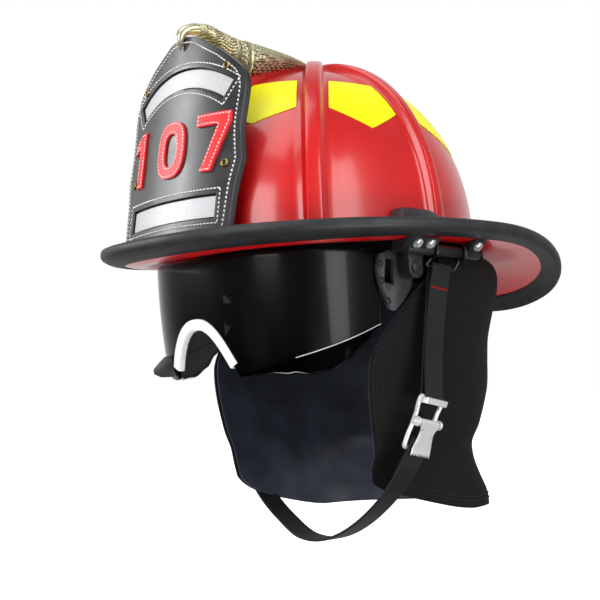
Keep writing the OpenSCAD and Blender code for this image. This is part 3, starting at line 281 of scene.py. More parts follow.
# %% Woven and knitted finishes
def make_weave(name, dark, light, across_mm, along_mm, depth, rough=0.85, sheen=0.3, tint="#9AA0A8"):
    material, tree, bsdf = finish(name, light, Roughness=rough, Sheen_Weight=sheen, Sheen_Roughness=0.4,
                                  Specular_IOR_Level=0.28, Sheen_Tint=linear(tint))
    where = (add(tree, "UVMap"), "UV")
    warp, weft = [(add(tree, "TexWave", {"wave_type": "BANDS", "bands_direction": way},
                       Vector=where, Scale=0.3142 / (size * MM), Distortion=0.4, Detail=1.0), "Fac")
                  for way, size in (("X", across_mm), ("Y", along_mm))]
    knuckle = calculate(tree, "MULTIPLY", warp, weft)
    cloud = add(tree, "TexNoise", None, Vector=where, Scale=1 / (30 * MM), Detail=4.0), "Fac"
    two_tone(tree, bsdf, calculate(tree, "MULTIPLY_ADD", knuckle, 0.5, cloud), dark, light, 0.35, 1.0)
    relief(tree, bsdf, knuckle, depth, 0.6)
    return material


outer_cloth = make_weave("black_aramid_twill", "#08090A", "#101113", 0.9, 0.9, 0.16, 0.85, 0.05)
inner_cloth = make_weave("navy_lining_satin", "#22252D", "#3D414D", 1.4, 1.4, 0.06, 0.45, 0.5, "#8B93B4")
webbing_nylon = make_weave("black_nylon_webbing", "#0D0E0F", "#1D1E20", 1.1, 1.5, 0.2, 0.6, 0.2)
pad_knit = make_weave("charcoal_pad_knit", "#17181A", "#2C2D30", 1.2, 1.2, 0.25, 0.95, 0.5)
print("made", outer_cloth.name, inner_cloth.name, webbing_nylon.name)

# %% [markdown]
# Three ways of making a mesh serve most pieces. A grid primitive is set out by a rule into a curved
# wall; the same grid, closed on itself, is swept into a bar or a hoop; and a CAD solid is copied,
# welded and given the small rounded edges that catch the light on a real moulding.

# %% Helpers that make meshes
def only(piece):
    """Selects one object alone and makes it active."""
    for other in bpy.context.selected_objects:
        other.select_set(False)
    piece.select_set(True)
    bpy.context.view_layer.objects.active = piece


def edit(piece, *steps):
    """Runs edit-mode operators, each with its settings, on the whole of a piece."""
    only(piece)
    bpy.ops.object.mode_set(mode="EDIT")
    bpy.ops.mesh.select_all(action="SELECT")
    for step, settings in steps:
        step(**settings)
    bpy.ops.object.mode_set(mode="OBJECT")
    return piece


def modify(piece, kind, **settings):
    """Adds a modifier, sets it and applies it."""
    only(piece)
    modifier = piece.modifiers.new(kind.lower(), kind)
    for name, value in settings.items():
        setattr(modifier, name, value)
    bpy.ops.object.modifier_apply(modifier=modifier.name)
    return piece


def bevel(piece, width_mm, segments, angle):
    """Rounds the edges that turn harder than an angle."""
    return modify(piece, "BEVEL", width=width_mm * MM, segments=segments, limit_method="ANGLE",
                  angle_limit=math.radians(angle))


def thicken(piece, thickness_mm, offset, **settings):
    return modify(piece, "SOLIDIFY", thickness=thickness_mm * MM, offset=offset, **settings)


def cut(piece, cutter, operation="DIFFERENCE"):
    modify(piece, "BOOLEAN", operation=operation, object=cutter, solver="EXACT")
    bpy.data.objects.remove(cutter)


outwards = (bpy.ops.mesh.normals_make_consistent, {"inside": False})


def weld(piece, distance_mm=0.001, outward=True):
    """Merges doubled points and turns the faces outwards."""
    merge = (bpy.ops.mesh.remove_doubles, {"threshold": distance_mm * MM})
    return edit(piece, merge, outwards) if outward else edit(piece, merge)


def close_holes(piece):
    """Fills open rims and turns the faces outwards."""
    return edit(piece, (bpy.ops.mesh.fill_holes, {"sides": 0}), outwards)


def grid(name, columns, rows, place, across_mm=None, along_mm=None):
    """A grid primitive whose points are set out, in millimetres, by place(column, row).
    With lengths given, its UV map is laid out in metres."""
    for other in bpy.context.selected_objects:
        other.select_set(False)
    bpy.ops.mesh.primitive_grid_add(x_subdivisions=columns, y_subdivisions=rows, size=2)
    piece = bpy.context.object
    piece.name = piece.data.name = name
    for point in piece.data.vertices:
        column, row = round((point.co.x + 1) / 2 * columns), round((point.co.y + 1) / 2 * rows)
        point.co = Vector(place(column, row)) * MM
    if across_mm:
        for corner in piece.data.uv_layers.active.data:
            corner.uv = (corner.uv[0] * across_mm * MM, corner.uv[1] * along_mm * MM)
    return piece


def swept(name, rings, closed=False, around_mm=None, along_mm=None):
    """A ring of points carried along a path: one list of points, in millimetres, a station.
    It closes on its first station, or else its ends are capped."""
    around, stations = len(rings[0]), len(rings)
    piece = grid(name, around, stations if closed else stations - 1,
                 lambda i, j: rings[j % stations][i % around], around_mm, along_mm)
    weld(piece, outward=closed)
    return piece if closed else close_holes(piece)


def copy_of(source, name):
    """A copy of an object under its own name."""
    only(source)
    bpy.ops.object.duplicate()
    piece = bpy.context.object
    piece.name = piece.data.name = name
    return piece


def softened(node_name, name, edge_mm):
    """A welded copy of a CAD solid with small rounded edges."""
    piece = copy_of(nodes[node_name], name)
    piece.parent = None
    piece.matrix_world = Matrix.Identity(4)
    for key in [key for key in piece.keys() if key.startswith("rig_")]:
        del piece[key]
    weld(piece, 0.02, outward=False)
    edit(piece, (bpy.ops.mesh.dissolve_limited, {"angle_limit": math.radians(2.5)}))
    return bevel(piece, edge_mm, 2, 32)


def join(name, pieces):
    """Joins pieces into one object."""
    only(pieces[0])
    for piece in pieces[1:]:
        piece.select_set(True)
    bpy.ops.object.join()
    joined = bpy.context.view_layer.objects.active
    joined.name = joined.data.name = name
    return joined


def shade(piece, material, angle):
    """Gives a piece its material and smooth shading that keeps edges sharper than an angle."""
    if material:
        piece.data.materials.clear()
        piece.data.materials.append(material)
    only(piece)
    bpy.ops.object.shade_smooth_by_angle(angle=math.radians(angle))
    print(piece.name, sum(len(face.vertices) - 2 for face in piece.data.polygons), "triangles")


def dress(piece, material, angle, node_name, slot_name):
    """Shades a piece that rides where its node does and is shown in its place."""
    shade(piece, material, angle)
    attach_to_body(piece, nodes[node_name]["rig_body"])
    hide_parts(node_name)


def attach(piece, material, node_name, angle=60):
    """Shades a piece that is too fine for the CAD and rides with a node."""
    shade(piece, material, angle)
    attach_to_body(piece, nodes[node_name]["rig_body"])


print("mesh helpers ready")

# %% [markdown]
# A helmet's plan is an oval that is neither a circle nor a box. One rule gives them all: an exponent
# of two is an ellipse and a higher one is squarer. Angles start at the front and go round by the left.

# %% The helmet's curves, in millimetres
dome_half_w, dome_front, dome_rear, dome_h = 100, 133, 132, 137
shell_wall, axis_y = 3, 3
dome_n_front, dome_n_high, dome_n_rear, dome_profile_n = 2.9, 2.2, 2, 2.18
rib_w, rib_h = 14, 7.5
rib_angles = [0, 45, 100, 180, 260, 315, 360]
brim_half_w, brim_front, brim_rear = 139, 171, 206
brim_front_z, brim_side_z, brim_rear_z = -3, 3, -43
brim_n_front, brim_n_rear, brim_drop = 2.38, 2.47, 4.6
brim_root_side, brim_root_front, brim_root_rear, root_fillet = -3, 8, 4, 8


def sind(a):
    return math.sin(math.radians(a))


def cosd(a):
    return math.cos(math.radians(a))


def lerp(a, b, t):
    return a + (b - a) * t


def ease(t):
    t = min(1, max(0, t))
    return t * t * (3 - 2 * t)


def oval(a, w, l, n):
    return (abs(sind(a) / w) ** n + abs(cosd(a) / l) ** n) ** (-1 / n)


def at(a, r, z):
    return (r * sind(a), axis_y - r * cosd(a), z)


def dome_plan(a, t=0):
    if cosd(a) > 0:
        return oval(a, dome_half_w, dome_front, lerp(dome_n_front, dome_n_high, min(1, t / 60)))
    return oval(a, dome_half_w, dome_rear, dome_n_rear)


def brim_plan(a):
    length, n = (brim_front, brim_n_front) if cosd(a) > 0 else (brim_rear, brim_n_rear)
    return oval(a, brim_half_w, length, n)


def brim_edge_z(a):
    end_z, power = (brim_front_z, 1.6) if cosd(a) > 0 else (brim_rear_z, brim_drop)
    return lerp(brim_side_z, end_z, abs(cosd(a)) ** power)


def brim_root_z(a):
    front, rear = max(0, cosd(a)) ** 1.5, max(0, -cosd(a)) ** 1.5
    return brim_root_side - brim_root_front * front - brim_root_rear * rear


def brim_mid(a, s):
    """The middle of the brim's wall, from its root, 0, to its edge, 1."""
    bend = 2 - 0.75 * max(0, -cosd(a)) ** 2
    return at(a, lerp(dome_plan(a) + root_fillet, brim_plan(a), s),
              lerp(brim_root_z(a), brim_edge_z(a), max(0, s) ** bend))


def brim_in(a, d):
    """The same, so far in from the edge."""
    return brim_mid(a, 1 - d / (brim_plan(a) - dome_plan(a) - root_fillet))


def up_power(v):
    return max(0, v) ** (2 / dome_profile_n)


def dome_at(a, t, off=0):
    """The dome at a latitude t, from 0 at its foot to 90 at the crown."""
    return at(a, dome_plan(a, t) * up_power(cosd(t)) + off * cosd(t),
              dome_h * up_power(sind(t)) + off * sind(t))


def level_r(t):
    return dome_half_w * up_power(cosd(t))


def spline(points, k, t):
    """A smooth curve through points, so far between number k and the next."""
    p0, p1, p2, p3 = [Vector(points[min(max(i, 0), len(points) - 1)]) for i in range(k - 1, k + 3)]
    return (p1 + (p2 - p0) * t / 2 + (2 * p0 - 5 * p1 + 4 * p2 - p3) * t * t / 2
            + (3 * p1 - p0 - 3 * p2 + p3) * t ** 3 / 2)


print("brim", brim_half_w * 2, "mm wide and", brim_front + brim_rear, "mm long")

# %% [markdown]
# The shell is one moulding: dome, six ribs, a rounded root and a brim that is dished at the sides and
# dips behind. It is a single grid that starts on top of the crown, runs down the dome and out along
# the brim, turns round its edge and comes back up inside. The columns crowd together over each rib,
# so the ribs keep their width right up to the crown and their edges stay crisp.

# %% Shell
rib_cols = panel_cols = 14
edge_r = 1.4


def rib_half_angle(r, k):
    before = rib_angles[1] if k == 0 else rib_angles[k] - rib_angles[k - 1]
    after = rib_angles[k + 1] - rib_angles[k]
    return min(math.degrees(math.asin(min(0.9, rib_w / 2 / max(r, 0.01)))), 0.44 * min(before, after))


def column_angle(c, r):
    """Angle of a column at a plan radius, and how far up the rib it stands."""
    k, j = divmod(c % (6 * (rib_cols + panel_cols)), rib_cols + panel_cols)
    half, next_half = rib_half_angle(r, k), rib_half_angle(r, (k + 1) % 6)
    if j <= rib_cols:
        x = 2 * j / rib_cols - 1
        rise = ease((1 - abs(x)) / 0.5) * (0.95 + 0.05 * (1 - x * x))
        return rib_angles[k] + x * half, rise
    share = (j - rib_cols) / panel_cols
    return lerp(rib_angles[k] + half, rib_angles[k + 1] - next_half, share), 0


# rows of the section: what each is, its place along its stretch, and outer 1 or inner -1
shell_rows = [(kind, v, side) for kind, side, places in (
    ("dome", 1, [90 - 2.4 * i for i in range(36)]),
    ("fillet", 1, (0.95, 0.8, 0.65, 0.5, 0.35, 0.2, 0.08)),
    ("brim", 1, (0.02, 0.08, 0.16, 0.26, 0.38, 0.5, 0.62, 0.74, 0.85, 0.94)),
    ("edge", 0, (90, 45, 0, -45, -90)),
    ("brim", -1, (0.94, 0.8, 0.6, 0.4, 0.2, 0.06)),
    ("fillet", -1, (0.1, 0.3, 0.5, 0.7, 0.9)),
    ("dome", -1, [4 + 5.375 * i for i in range(17)])) for v in places]


def shell_point(c, j):
    kind, v, side = shell_rows[j]
    if kind == "dome":
        a, rise = column_angle(c, level_r(v))
        if side < 0:
            return dome_at(a, v, -shell_wall)
        rise = lerp(rise, 1, ease((v - 80) / 10))
        return dome_at(a, v, lerp(rib_h * 0.75, rib_h, v / 90) * rise)
    if kind == "fillet":
        a, rise = column_angle(c, dome_half_w + root_fillet * (1 - v))
        r = root_fillet - rib_h * lerp(0.25, 0.75, v) * rise if side > 0 else root_fillet + shell_wall
        return at(a, dome_plan(a) + root_fillet - r * sind(90 * v),
                  brim_root_z(a) + shell_wall / 2 + root_fillet - r * cosd(90 * v))
    s = 1 if kind == "edge" else v
    a, rise = column_angle(c, lerp(dome_half_w + root_fillet, brim_half_w, s))
    if kind == "edge":
        x, y, z = brim_in(a, edge_r - edge_r * cosd(v))
        return x, y, z + shell_wall / 2 * sind(v)
    x, y, z = brim_mid(a, s)
    lift = 0.2 * rib_h * rise * ease(1 - s / 0.2) if side > 0 else 0
    return x, y, z + side * shell_wall / 2 + lift


shell = grid("shell_moulding", 6 * (rib_cols + panel_cols), len(shell_rows) - 1, shell_point)
dress(weld(shell, 0.02), shell_paint, 50, "shell", "shell_red")

# %% [markdown]
# The rubber channel is one section carried round the brim. Its bead is full and round at the edge,
# its two legs taper to thin lips that press on the shell above and below.

# %% Edge trim
trim_h, trim_leg, trim_fit = 9, 15, 0.3


def trim_section(a):
    w, h = shell_wall / 2 + trim_fit, trim_h / 2
    outline = [(-2.4, 0), (-2.2, h * 0.42), (-1.3, h * 0.78), (0.4, h * 0.98), (2.5, h), (5.5, h * 0.93),
               (9, h * 0.78), (trim_leg - 2.4, w + 1.1), (trim_leg - 0.6, w + 0.75), (trim_leg, w + 0.3),
               (trim_leg - 0.3, w), (9, w), (4, w), (0.8, w), (0.3, 0)]
    outline += [(d, -lift) for d, lift in reversed(outline[1:-1])]
    x0, y0, z0 = brim_in(a, 0)
    x1, y1, _ = brim_in(a, trim_leg)
    length = math.hypot(x1 - x0, y1 - y0)
    ring = []
    for d, lift in outline:
        past_edge = (x0 + (x1 - x0) / length * d, y0 + (y1 - y0) / length * d, z0)
        x, y, z = past_edge if d < 0 else brim_in(a, d)
        ring.append((x, y, z + lift))
    return ring


trim = swept("edge_trim_rubber", [trim_section(360 * i / 240) for i in range(240)], closed=True)
dress(trim, edge_rubber, 40, "edge_trim", "trim_rubber")

# %% [markdown]
# Six panels of film lie between the ribs. Each is cut with a point at the middle of its lower edge
# and follows the dome, so it is a small grid laid out by the dome's own rule and given a thickness.

# %% Reflective panels
patch_top_t, patch_side_t, patch_margin, patch_lift, patch_t = 57, 40, 9.5, 0.12, 0.45


def panel(k):
    a0, a1 = rib_angles[k], rib_angles[k + 1]

    def place(i, j):
        u, v = i / 24, j / 10
        t_low = lerp(patch_side_t, patch_side_t - 0.14 * (a1 - a0), 1 - abs(2 * u - 1))
        t = lerp(patch_top_t, t_low, v)
        margin = math.degrees(math.asin(patch_margin / level_r(t)))
        return dome_at(lerp(a0 + margin, a1 - margin, u), t, patch_lift + patch_t)

    return thicken(weld(grid("panel", 24, 10, place)), patch_t, -1)


panels = join("reflective_film_panels", [panel(k) for k in range(6)])
dress(panels, yellow_film, 40, "reflective_panels", "reflective")

# %% [markdown]
# The leather front is worked out flat, as a cutter would: an outline, an arched window above and a
# straight one below, measured up from the foot. Each point is then bent round a radius and leant back,
# with its depth behind the face kept, so face, windows, digits and stitches all lie on one surface.

# %% The flat pattern of the leather front
shield_bend, shield_lean, shield_foot = 220, 9.4, (0, -150, -5)
shield_t, backing_t = 2.6, 2.0
outline_corners = [(0, 155), (14, 152), (22, 147.5), (40, 137.5), (54.5, 127), (61, 120.5), (64.5, 112),
                   (65, 103), (63.8, 80), (66.8, 57), (63, 37), (61, 9), (58, 2), (53, 0)]
sharp_corners = (0, 3, 9, 13)
arch_v, arch_half_a, arch_r, arch_h = 27, 32.5, 87.5, 15.5
plate_half_w, plate_v, plate_h = 49, 17, 17


def on_leather(x, v, depth=0):
    """A flat point of the pattern, so deep behind its face, bent and leant into place."""
    y = shield_bend - math.sqrt((shield_bend - depth) ** 2 - x * x)
    return (x, shield_foot[1] + y * cosd(shield_lean) + v * sind(shield_lean),
            shield_foot[2] - y * sind(shield_lean) + v * cosd(shield_lean))


def rounded(points, sharp=(), steps=4):
    """A curve through points that turns hard only at the sharp ones."""
    line = []
    for i in range(len(points) - 1):
        near = points[:]
        if i in sharp:
            near[i - 1] = points[i]
        if i + 1 in sharp and i + 2 < len(points):
            near[i + 2] = points[i + 1]
        line += [spline(near, i, k / steps) for k in range(steps)]
    return line + [Vector(points[-1])]


def arch_ring(grow, steps=24):
    """The arched window's outline, grown all round."""
    wide = arch_half_a + math.degrees(grow / arch_r)
    low, high = [[(r * sind(a), arch_v + r * cosd(a)) for a in
                  [lerp(-wide, wide, i / steps) for i in range(steps + 1)]]
                 for r in (arch_r - grow, arch_r + arch_h + grow)]
    return low + high[::-1]


def plate_ring(grow):
    x, low, high = plate_half_w + grow, plate_v - grow, plate_v + plate_h + grow
    return [(-x, low), (x, low), (x, high), (-x, high)]


half_outline = rounded(outline_corners, sharp_corners)
print("leather front", 2 * max(p.x for p in half_outline), "mm wide")

# %% [markdown]
# Face and backing are grids between the left and right outline. The windows are cut out of the face
# while it is flat, where the cut is clean; then every point is bent and the cut edges are rounded over.

# %% Leather face and backing
def flat_leather(name, near, far, columns=44):
    rows = half_outline[1:]
    sheet = grid(name, columns, len(rows) - 1,
                 lambda i, j: (rows[j].x * (2 * i / columns - 1), near, rows[j].y))
    return thicken(weld(sheet, outward=False), far - near, 1)


def prism(name, ring, near, far):
    return swept(name, [[(x, y, v) for x, v in ring] for y in (near, far)])


def bend_leather(piece):
    for point in piece.data.vertices:
        x, y, v = point.co / MM
        point.co = Vector(on_leather(x, v, y)) * MM


face = flat_leather("leather_face", 0, shield_t)
for name, ring in (("arch_cutter", arch_ring(0)), ("plate_cutter", plate_ring(0))):
    cut(face, prism(name, ring, -5, 8))
bend_leather(face)
dress(bevel(face, 0.55, 3, 50), leather_face, 40, "shield_face", "leather_front")

backing = flat_leather("leather_backing", shield_t, shield_t + backing_t)
bend_leather(backing)
dress(bevel(backing, 0.45, 2, 50), leather_back, 40, "shield_backing", "leather_back")

# %% [markdown]
# The windows are strips of silvered bead film let in behind the face. They are left without wording.

# %% Windows
window_rim, window_depth, window_t = 1.3, 2.3, 0.7


def arch_spot(i, j):
    a = lerp(-arch_half_a, arch_half_a, i / 40) * 0.975
    r = arch_r + lerp(window_rim, arch_h - window_rim, j / 4)
    return on_leather(r * sind(a), arch_v + r * cosd(a), window_depth)


def plate_spot(i, j):
    x = lerp(-plate_half_w + window_rim, plate_half_w - window_rim, i / 30)
    return on_leather(x, lerp(plate_v + window_rim, plate_v + plate_h - window_rim, j / 4), window_depth)


for name, columns, place, node_name in (("upper_window_film", 40, arch_spot, "shield_upper_panel"),
                                        ("lower_window_film", 30, plate_spot, "shield_lower_panel")):
    dress(thicken(grid(name, columns, 4, place), window_t, 1), silver_window, 40, node_name, "window_panel")

# %% [markdown]
# Every line of sewing is one real thread: a thin tube that lies on the leather for a stitch and dives
# through it before the next. The same rule sews the leather and the digits, and the cloth's stitches rise and
# dive by the same profile.

# %% Sewing
STITCH = [-0.7, 0.1, 0.42, 0.46, 0.42, 0.1, -0.7, -0.8]      # height of the thread along one pitch
AROUND = [(cosd(a), sind(a)) for a in (0, 60, 120, 180, 240, 300)]
leather_seam, digit_seam = (3.1, 0.85), (2.7, 0.6)      # pitch and thread
edge_seam_in, arch_seam_out, plate_seam_out, digit_seam_in = 4.2, 3.4, 3.6, 1.35


def spaced(path, step):
    """Points at equal steps along a path, with the way it runs, the stretch and the share of it."""
    path = [Vector(p) for p in path]
    lengths = [0]
    for a, b in zip(path, path[1:]):
        lengths.append(lengths[-1] + (b - a).length)
    count = max(2, round(lengths[-1] / step))
    made, k = [], 0
    for i in range(count + 1):
        s = lengths[-1] * i / count
        while k < len(path) - 2 and lengths[k + 1] < s:
            k += 1
        share = (s - lengths[k]) / max(lengths[k + 1] - lengths[k], 1e-9)
        made.append((path[k].lerp(path[k + 1], share), (path[k + 1] - path[k]).normalized(), k, share))
    return made


def sewn(path, place, pitch, thick):
    """A row of stitches along a flat path; place(x, v, height) puts a point on the surface."""
    rings = []
    for i, (spot, way, _, _) in enumerate(spaced(path, pitch / len(STITCH))):
        lift = STITCH[i % len(STITCH)] * thick * 1.6
        rings.append([place(spot.x - way.y * c * thick / 2, spot.y + way.x * c * thick / 2,
                            lift + s * thick / 2) for c, s in AROUND])
    return swept("seam", rings)


def over_leather(x, v, height):
    return on_leather(x, v, -height)


def inset(line, distance):
    """A path moved sideways, to the right of the way it runs."""
    moved = []
    for i, p in enumerate(line):
        a, b = Vector(line[max(0, i - 1)]), Vector(line[min(len(line) - 1, i + 1)])
        way = (b - a).normalized()
        moved.append((p[0] + way.y * distance, p[1] - way.x * distance))
    return moved


edge_path = inset([(p.x, p.y) for p in half_outline[2:-4]], edge_seam_in)
edge_path = [(0, edge_path[0][1] + 0.6)] + [p for p in edge_path if p[0] > 3]
paths = [[(side * x, v) for x, v in edge_path] for side in (-1, 1)]
paths += [ring + ring[:1] for ring in (arch_ring(arch_seam_out), plate_ring(plate_seam_out))]
leather_seams = join("leather_front_stitching", [sewn(path, over_leather, *leather_seam) for path in paths])
attach(leather_seams, seam_thread, "shield_face")

# %% [markdown]
# A company number of raised red hide is sewn on between the windows. The three digits are drawn as
# plain outlines, cut out of a fine flat grid, bent with the leather and sewn close to their edges.

# %% Digits
digit_t, digit_mid_v = 1.7, 70.5


def squarish(w, h, n=2.7, steps=48):
    ring = []
    for i in range(steps):
        c, s = cosd(360 * i / steps), sind(360 * i / steps)
        ring.append((w * math.copysign(abs(c) ** (2 / n), c),
                     digit_mid_v + h * math.copysign(abs(s) ** (2 / n), s)))
    return ring


def over_digit(x, v, height):
    return on_leather(x, v, -digit_t - height)


one = [(-2.5, 50), (6, 50), (6, 91), (-0.5, 91), (-10, 83.5), (-10, 76), (-2.5, 81)]
seven = [(-8.5, 50), (1, 50), (15, 83.5), (15, 91), (-15, 91), (-15, 82.5), (4.6, 82.5)]
digit_rings = [[(x + middle, v) for x, v in ring]
               for ring, middle in ((one, -43), (squarish(15.5, 20.5), 0), (seven, 42))]
hole_ring = squarish(7, 12)

digits = grid("number_appliques", 88, 30,
              lambda i, j: (lerp(-61, 61, i / 88), -digit_t, lerp(47, 94, j / 30)))
thicken(digits, digit_t, -1)
cut(digits, join("digit_cutters", [prism("digit", ring, -6, 6) for ring in digit_rings]), "INTERSECT")
cut(digits, prism("digit_hole", hole_ring, -6, 6))
bend_leather(digits)
attach(bevel(digits, 0.5, 3, 50), red_hide, "shield_face", 40)

digit_seams = []
for ring in digit_rings + [hole_ring[::-1]]:
    path = [(lerp(a[0], b[0], k / 6), lerp(a[1], b[1], k / 6))
            for a, b in zip(ring, ring[1:] + ring[:1]) for k in range(6)]
    digit_seams.append(sewn(inset(path, -digit_seam_in), over_digit, *digit_seam))
attach(join("number_stitching", digit_seams), seam_thread, "shield_face")

# %% [markdown]
# Four brass eyelets hold the leather layers to the plate behind. Each is a rolled ring with a tube
# through the hole, turned from one section.

# %% Eyelets
eyelet_section = [(2.9, 0), (3.05, 0.35), (2.85, 0.8), (2.35, 1.15), (1.8, 1.1), (1.4, 0.75), (1.25, 0),
                  (1.2, -5.2), (2.8, -5.5), (2.9, -4.9), (1.55, -4.7), (1.55, -0.2)]
eyelets = [swept("eyelet", [[on_leather(x + r * cosd(a), v + r * sind(a), -h) for r, h in eyelet_section]
                            for a in range(0, 360, 15)], closed=True)
           for x, v in ((-47.7, 124.5), (47.7, 124.5), (-54.2, 54.5), (54.2, 54.5))]
dress(join("brass_eyelets", eyelets), eyelet_brass, 50, "shield_rivets", "rivet_brass")

# %% [markdown]
# The holder is a small cast eagle that crouches along the front rib and hooks its beak over the top of
# the leather. Its body is swept through measured sections; then the carving is pressed in by a rule:
# long wing feathers above, scales below them, a studded collar, neck feathers, a brow and an eye.

# %% Eagle body
# of each section: y and z of its middle, half width, half height, and how far it leans forward
eagle_sections = [
    (-10, 141.5, 4.2, 2.0, 0), (-15.9, 141.4, 7.3, 3.9, 0), (-28.9, 141.1, 10.4, 6.6, 0),
    (-45.4, 140.4, 12.6, 9.4, 0), (-59.6, 139.2, 14, 12.2, 0), (-69, 138.7, 14, 13.7, 0),
    (-73.1, 139.4, 13.3, 13.9, 0), (-75.4, 141.6, 11.2, 11.2, 0), (-83.2, 145.8, 8.7, 8.7, 0),
    (-92.6, 149.4, 8.1, 7.3, 0), (-99.7, 152.3, 8.4, 6.3, 0), (-106.8, 154.6, 8.1, 5.1, 4),
    (-112.1, 155.1, 6.6, 4.3, 10), (-116, 154.9, 5.3, 4.3, 20), (-122, 153.2, 4.3, 4.1, 45),
    (-126.4, 149.9, 3.5, 3.7, 66), (-128.4, 144.6, 2.6, 2.8, 84), (-128.4, 138.4, 0.8, 0.9, 92)]
wing_end, collar_end, neck_end, brow_end, beak_root = 61, 72, 92, 104, 112
eagle_steps, eagle_around, carve_depth = 250, 96, 1.25


def skin_z(x, y):
    """Height of the shell's outer skin, ribs included, over a point of its plan."""
    a, r = math.degrees(math.atan2(x, axis_y - y)), math.hypot(x, y - axis_y)
    low, high = 0, 90
    for _ in range(18):
        t = (low + high) / 2
        low, high = (t, high) if dome_plan(a, t) * up_power(cosd(t)) > r else (low, t)
    beside = min(abs(r * sind(a - rib)) for rib in rib_angles if cosd(a - rib) > 0)
    rise = lerp(ease((1 - beside / (rib_w / 2)) / 0.5), 1, ease((t - 80) / 10))
    return dome_h * up_power(sind(t)) + rib_h * rise


def groove(f, width):
    """1 on the flat, 0 in a groove at each whole number."""
    return ease(abs(f - round(f)) / width)


def scale_relief(u, v):
    """Rounded scales in staggered rows; each row tucks under the next."""
    row = math.floor(v)
    u += 0.5 * (row % 2)
    du, dv = u - math.floor(u) - 0.5, v - row
    reach = math.hypot(du * 1.7, dv * 0.95)
    return (1 - ease((reach - 0.62) / 0.3)) * (0.45 + 0.55 * dv)


def carving(along, q):
    """Height of the carving from 0, deep, to 1, proud: along in millimetres from the tail,
    q from -1 underneath to 1 on the back."""
    if along < wing_end:
        fan = q * (1 + 0.5 * along / wing_end)
        if fan <= -0.35:
            return scale_relief(along / 5.2, (fan + 1.5) * 4.4)
        f = (fan + 0.35) * 4.2 - 0.9 * (along / wing_end) ** 2
        barb = 0.5 + 0.5 * math.sin((along * 1.1 + 9 * abs(f - round(f))) * 2.1)
        tips = groove((along + 7 * math.floor(f + 0.5) % 19) / 30, 0.05)
        return groove(f, 0.2) * (0.78 + 0.22 * barb) * (0.5 + 0.5 * tips)
    if along < collar_end:
        edge = min(along - wing_end, collar_end - along)
        if edge < 1.8:
            return ease(edge / 0.7)
        stud = math.hypot((along - (wing_end + collar_end) / 2) / 3.1, (q * 3.1 - round(q * 3.1)) * 1.55)
        return 0.25 + 0.75 * (1 - ease((stud - 0.45) / 0.35))
    if along < neck_end:
        f = q * 3.4 + (along - collar_end) * 0.17 + 0.6 * math.sin(along * 0.35)
        return groove(f, 0.26) * (0.8 + 0.2 * math.sin(along * 2.6 + q * 14))
    if along < brow_end:
        eye = math.hypot(along - 96.5, (q - 0.28) * 6.5)
        if eye < 3.1:
            return 0.95 if eye < 1.25 else ease(abs(eye - 1.9) / 0.9)
        brow = abs(q - 0.82 + 0.035 * (along - neck_end))
        if brow < 0.14:
            return ease(brow / 0.09)
        return 0.35 + 0.65 * groove(q * 3.2 + (along - neck_end) * 0.22, 0.24)
    return 0.2 + 0.8 * ease(abs(q + 0.25) / 0.2) if along < beak_root else 1


eagle_rings, eagle_depth = [], []
for i in range(eagle_steps + 1):
    s = (len(eagle_sections) - 1) * (i / eagle_steps)
    k = min(int(s), len(eagle_sections) - 2)
    mid_y, mid_z, half_w, half_h, lean = spline(eagle_sections, k, s - k)
    along = eagle_sections[0][0] - mid_y
    ring = []
    for j in range(eagle_around):
        c, q = cosd(360 * j / eagle_around), sind(360 * j / eagle_around)
        height = carving(along, q) if lean < 55 else 1
        press = carve_depth * (1 - height) * min(1, half_h / 7) * ease(along / 6)
        x = math.copysign(max(0, half_w * abs(c) ** 0.8 - press * abs(c)), c)
        u = (half_h - press) * q
        y, z = mid_y - u * sind(lean), mid_z + u * cosd(lean)
        if y > -86 and along < 100:
            z = max(z, skin_z(x, y) + 0.15)
        ring.append((x, y, z))
        eagle_depth.append(1 - height)
    eagle_rings.append(ring)
eagle = grid("cast_eagle_holder", eagle_around, eagle_steps, lambda i, j: eagle_rings[j][i % eagle_around])
depth_layer = eagle.data.attributes.new("depth", "FLOAT", "POINT")
for index, point in enumerate(depth_layer.data):
    j, i = divmod(index, eagle_around + 1)
    point.value = eagle_depth[j * eagle_around + i % eagle_around]
dress(close_holes(weld(eagle, outward=False)), antique_brass, 60, "eagle_holder", "cast_brass")

# %% [markdown]
# Inside, a foam cup takes the blow, webbing arches carry the shell clear of the head, and a headband
# with a brow pad fits it. They are seen from below and through the lens.

# %% Impact liner
head_half_w, liner_t, liner_front, liner_rear, liner_n = 75, 11, 104, 117, 2.3
liner_h, liner_z, liner_cols = dome_h - shell_wall - 0.3, -4, 96


def liner_at(a, t, off):
    """The foam cup at an angle and a latitude, so far in from its outer face."""
    r = oval(a, head_half_w + liner_t, liner_front if cosd(a) > 0 else liner_rear, liner_n) - off
    return at(a, r * up_power(cosd(t)), liner_z + (liner_h - off - liner_z) * up_power(sind(t)))


liner_rows = [(90 - 5 * i, 0.6) for i in range(18)]
liner_rows += [(0, off) for off in (1.6, 4, liner_t - 4, liner_t - 1.6)]
liner_rows += [(5 * i, liner_t - 0.4) for i in range(19)]
liner = grid("foam_impact_liner", liner_cols, len(liner_rows) - 1,
             lambda c, j: liner_at(360 * c / liner_cols, *liner_rows[j]))
dress(weld(liner, 0.02), bead_foam, 50, "impact_liner", "foam")

# %% [markdown]
# Webbing is a flat ribbon with rounded edges, so it has one rule: a section that keeps its width across
# the run. Its map is laid out in metres, so that the weave keeps its size on a long and a short strap.

# %% Webbing
def run_length(path):
    return sum((Vector(b) - Vector(a)).length for a, b in zip(path, path[1:]))


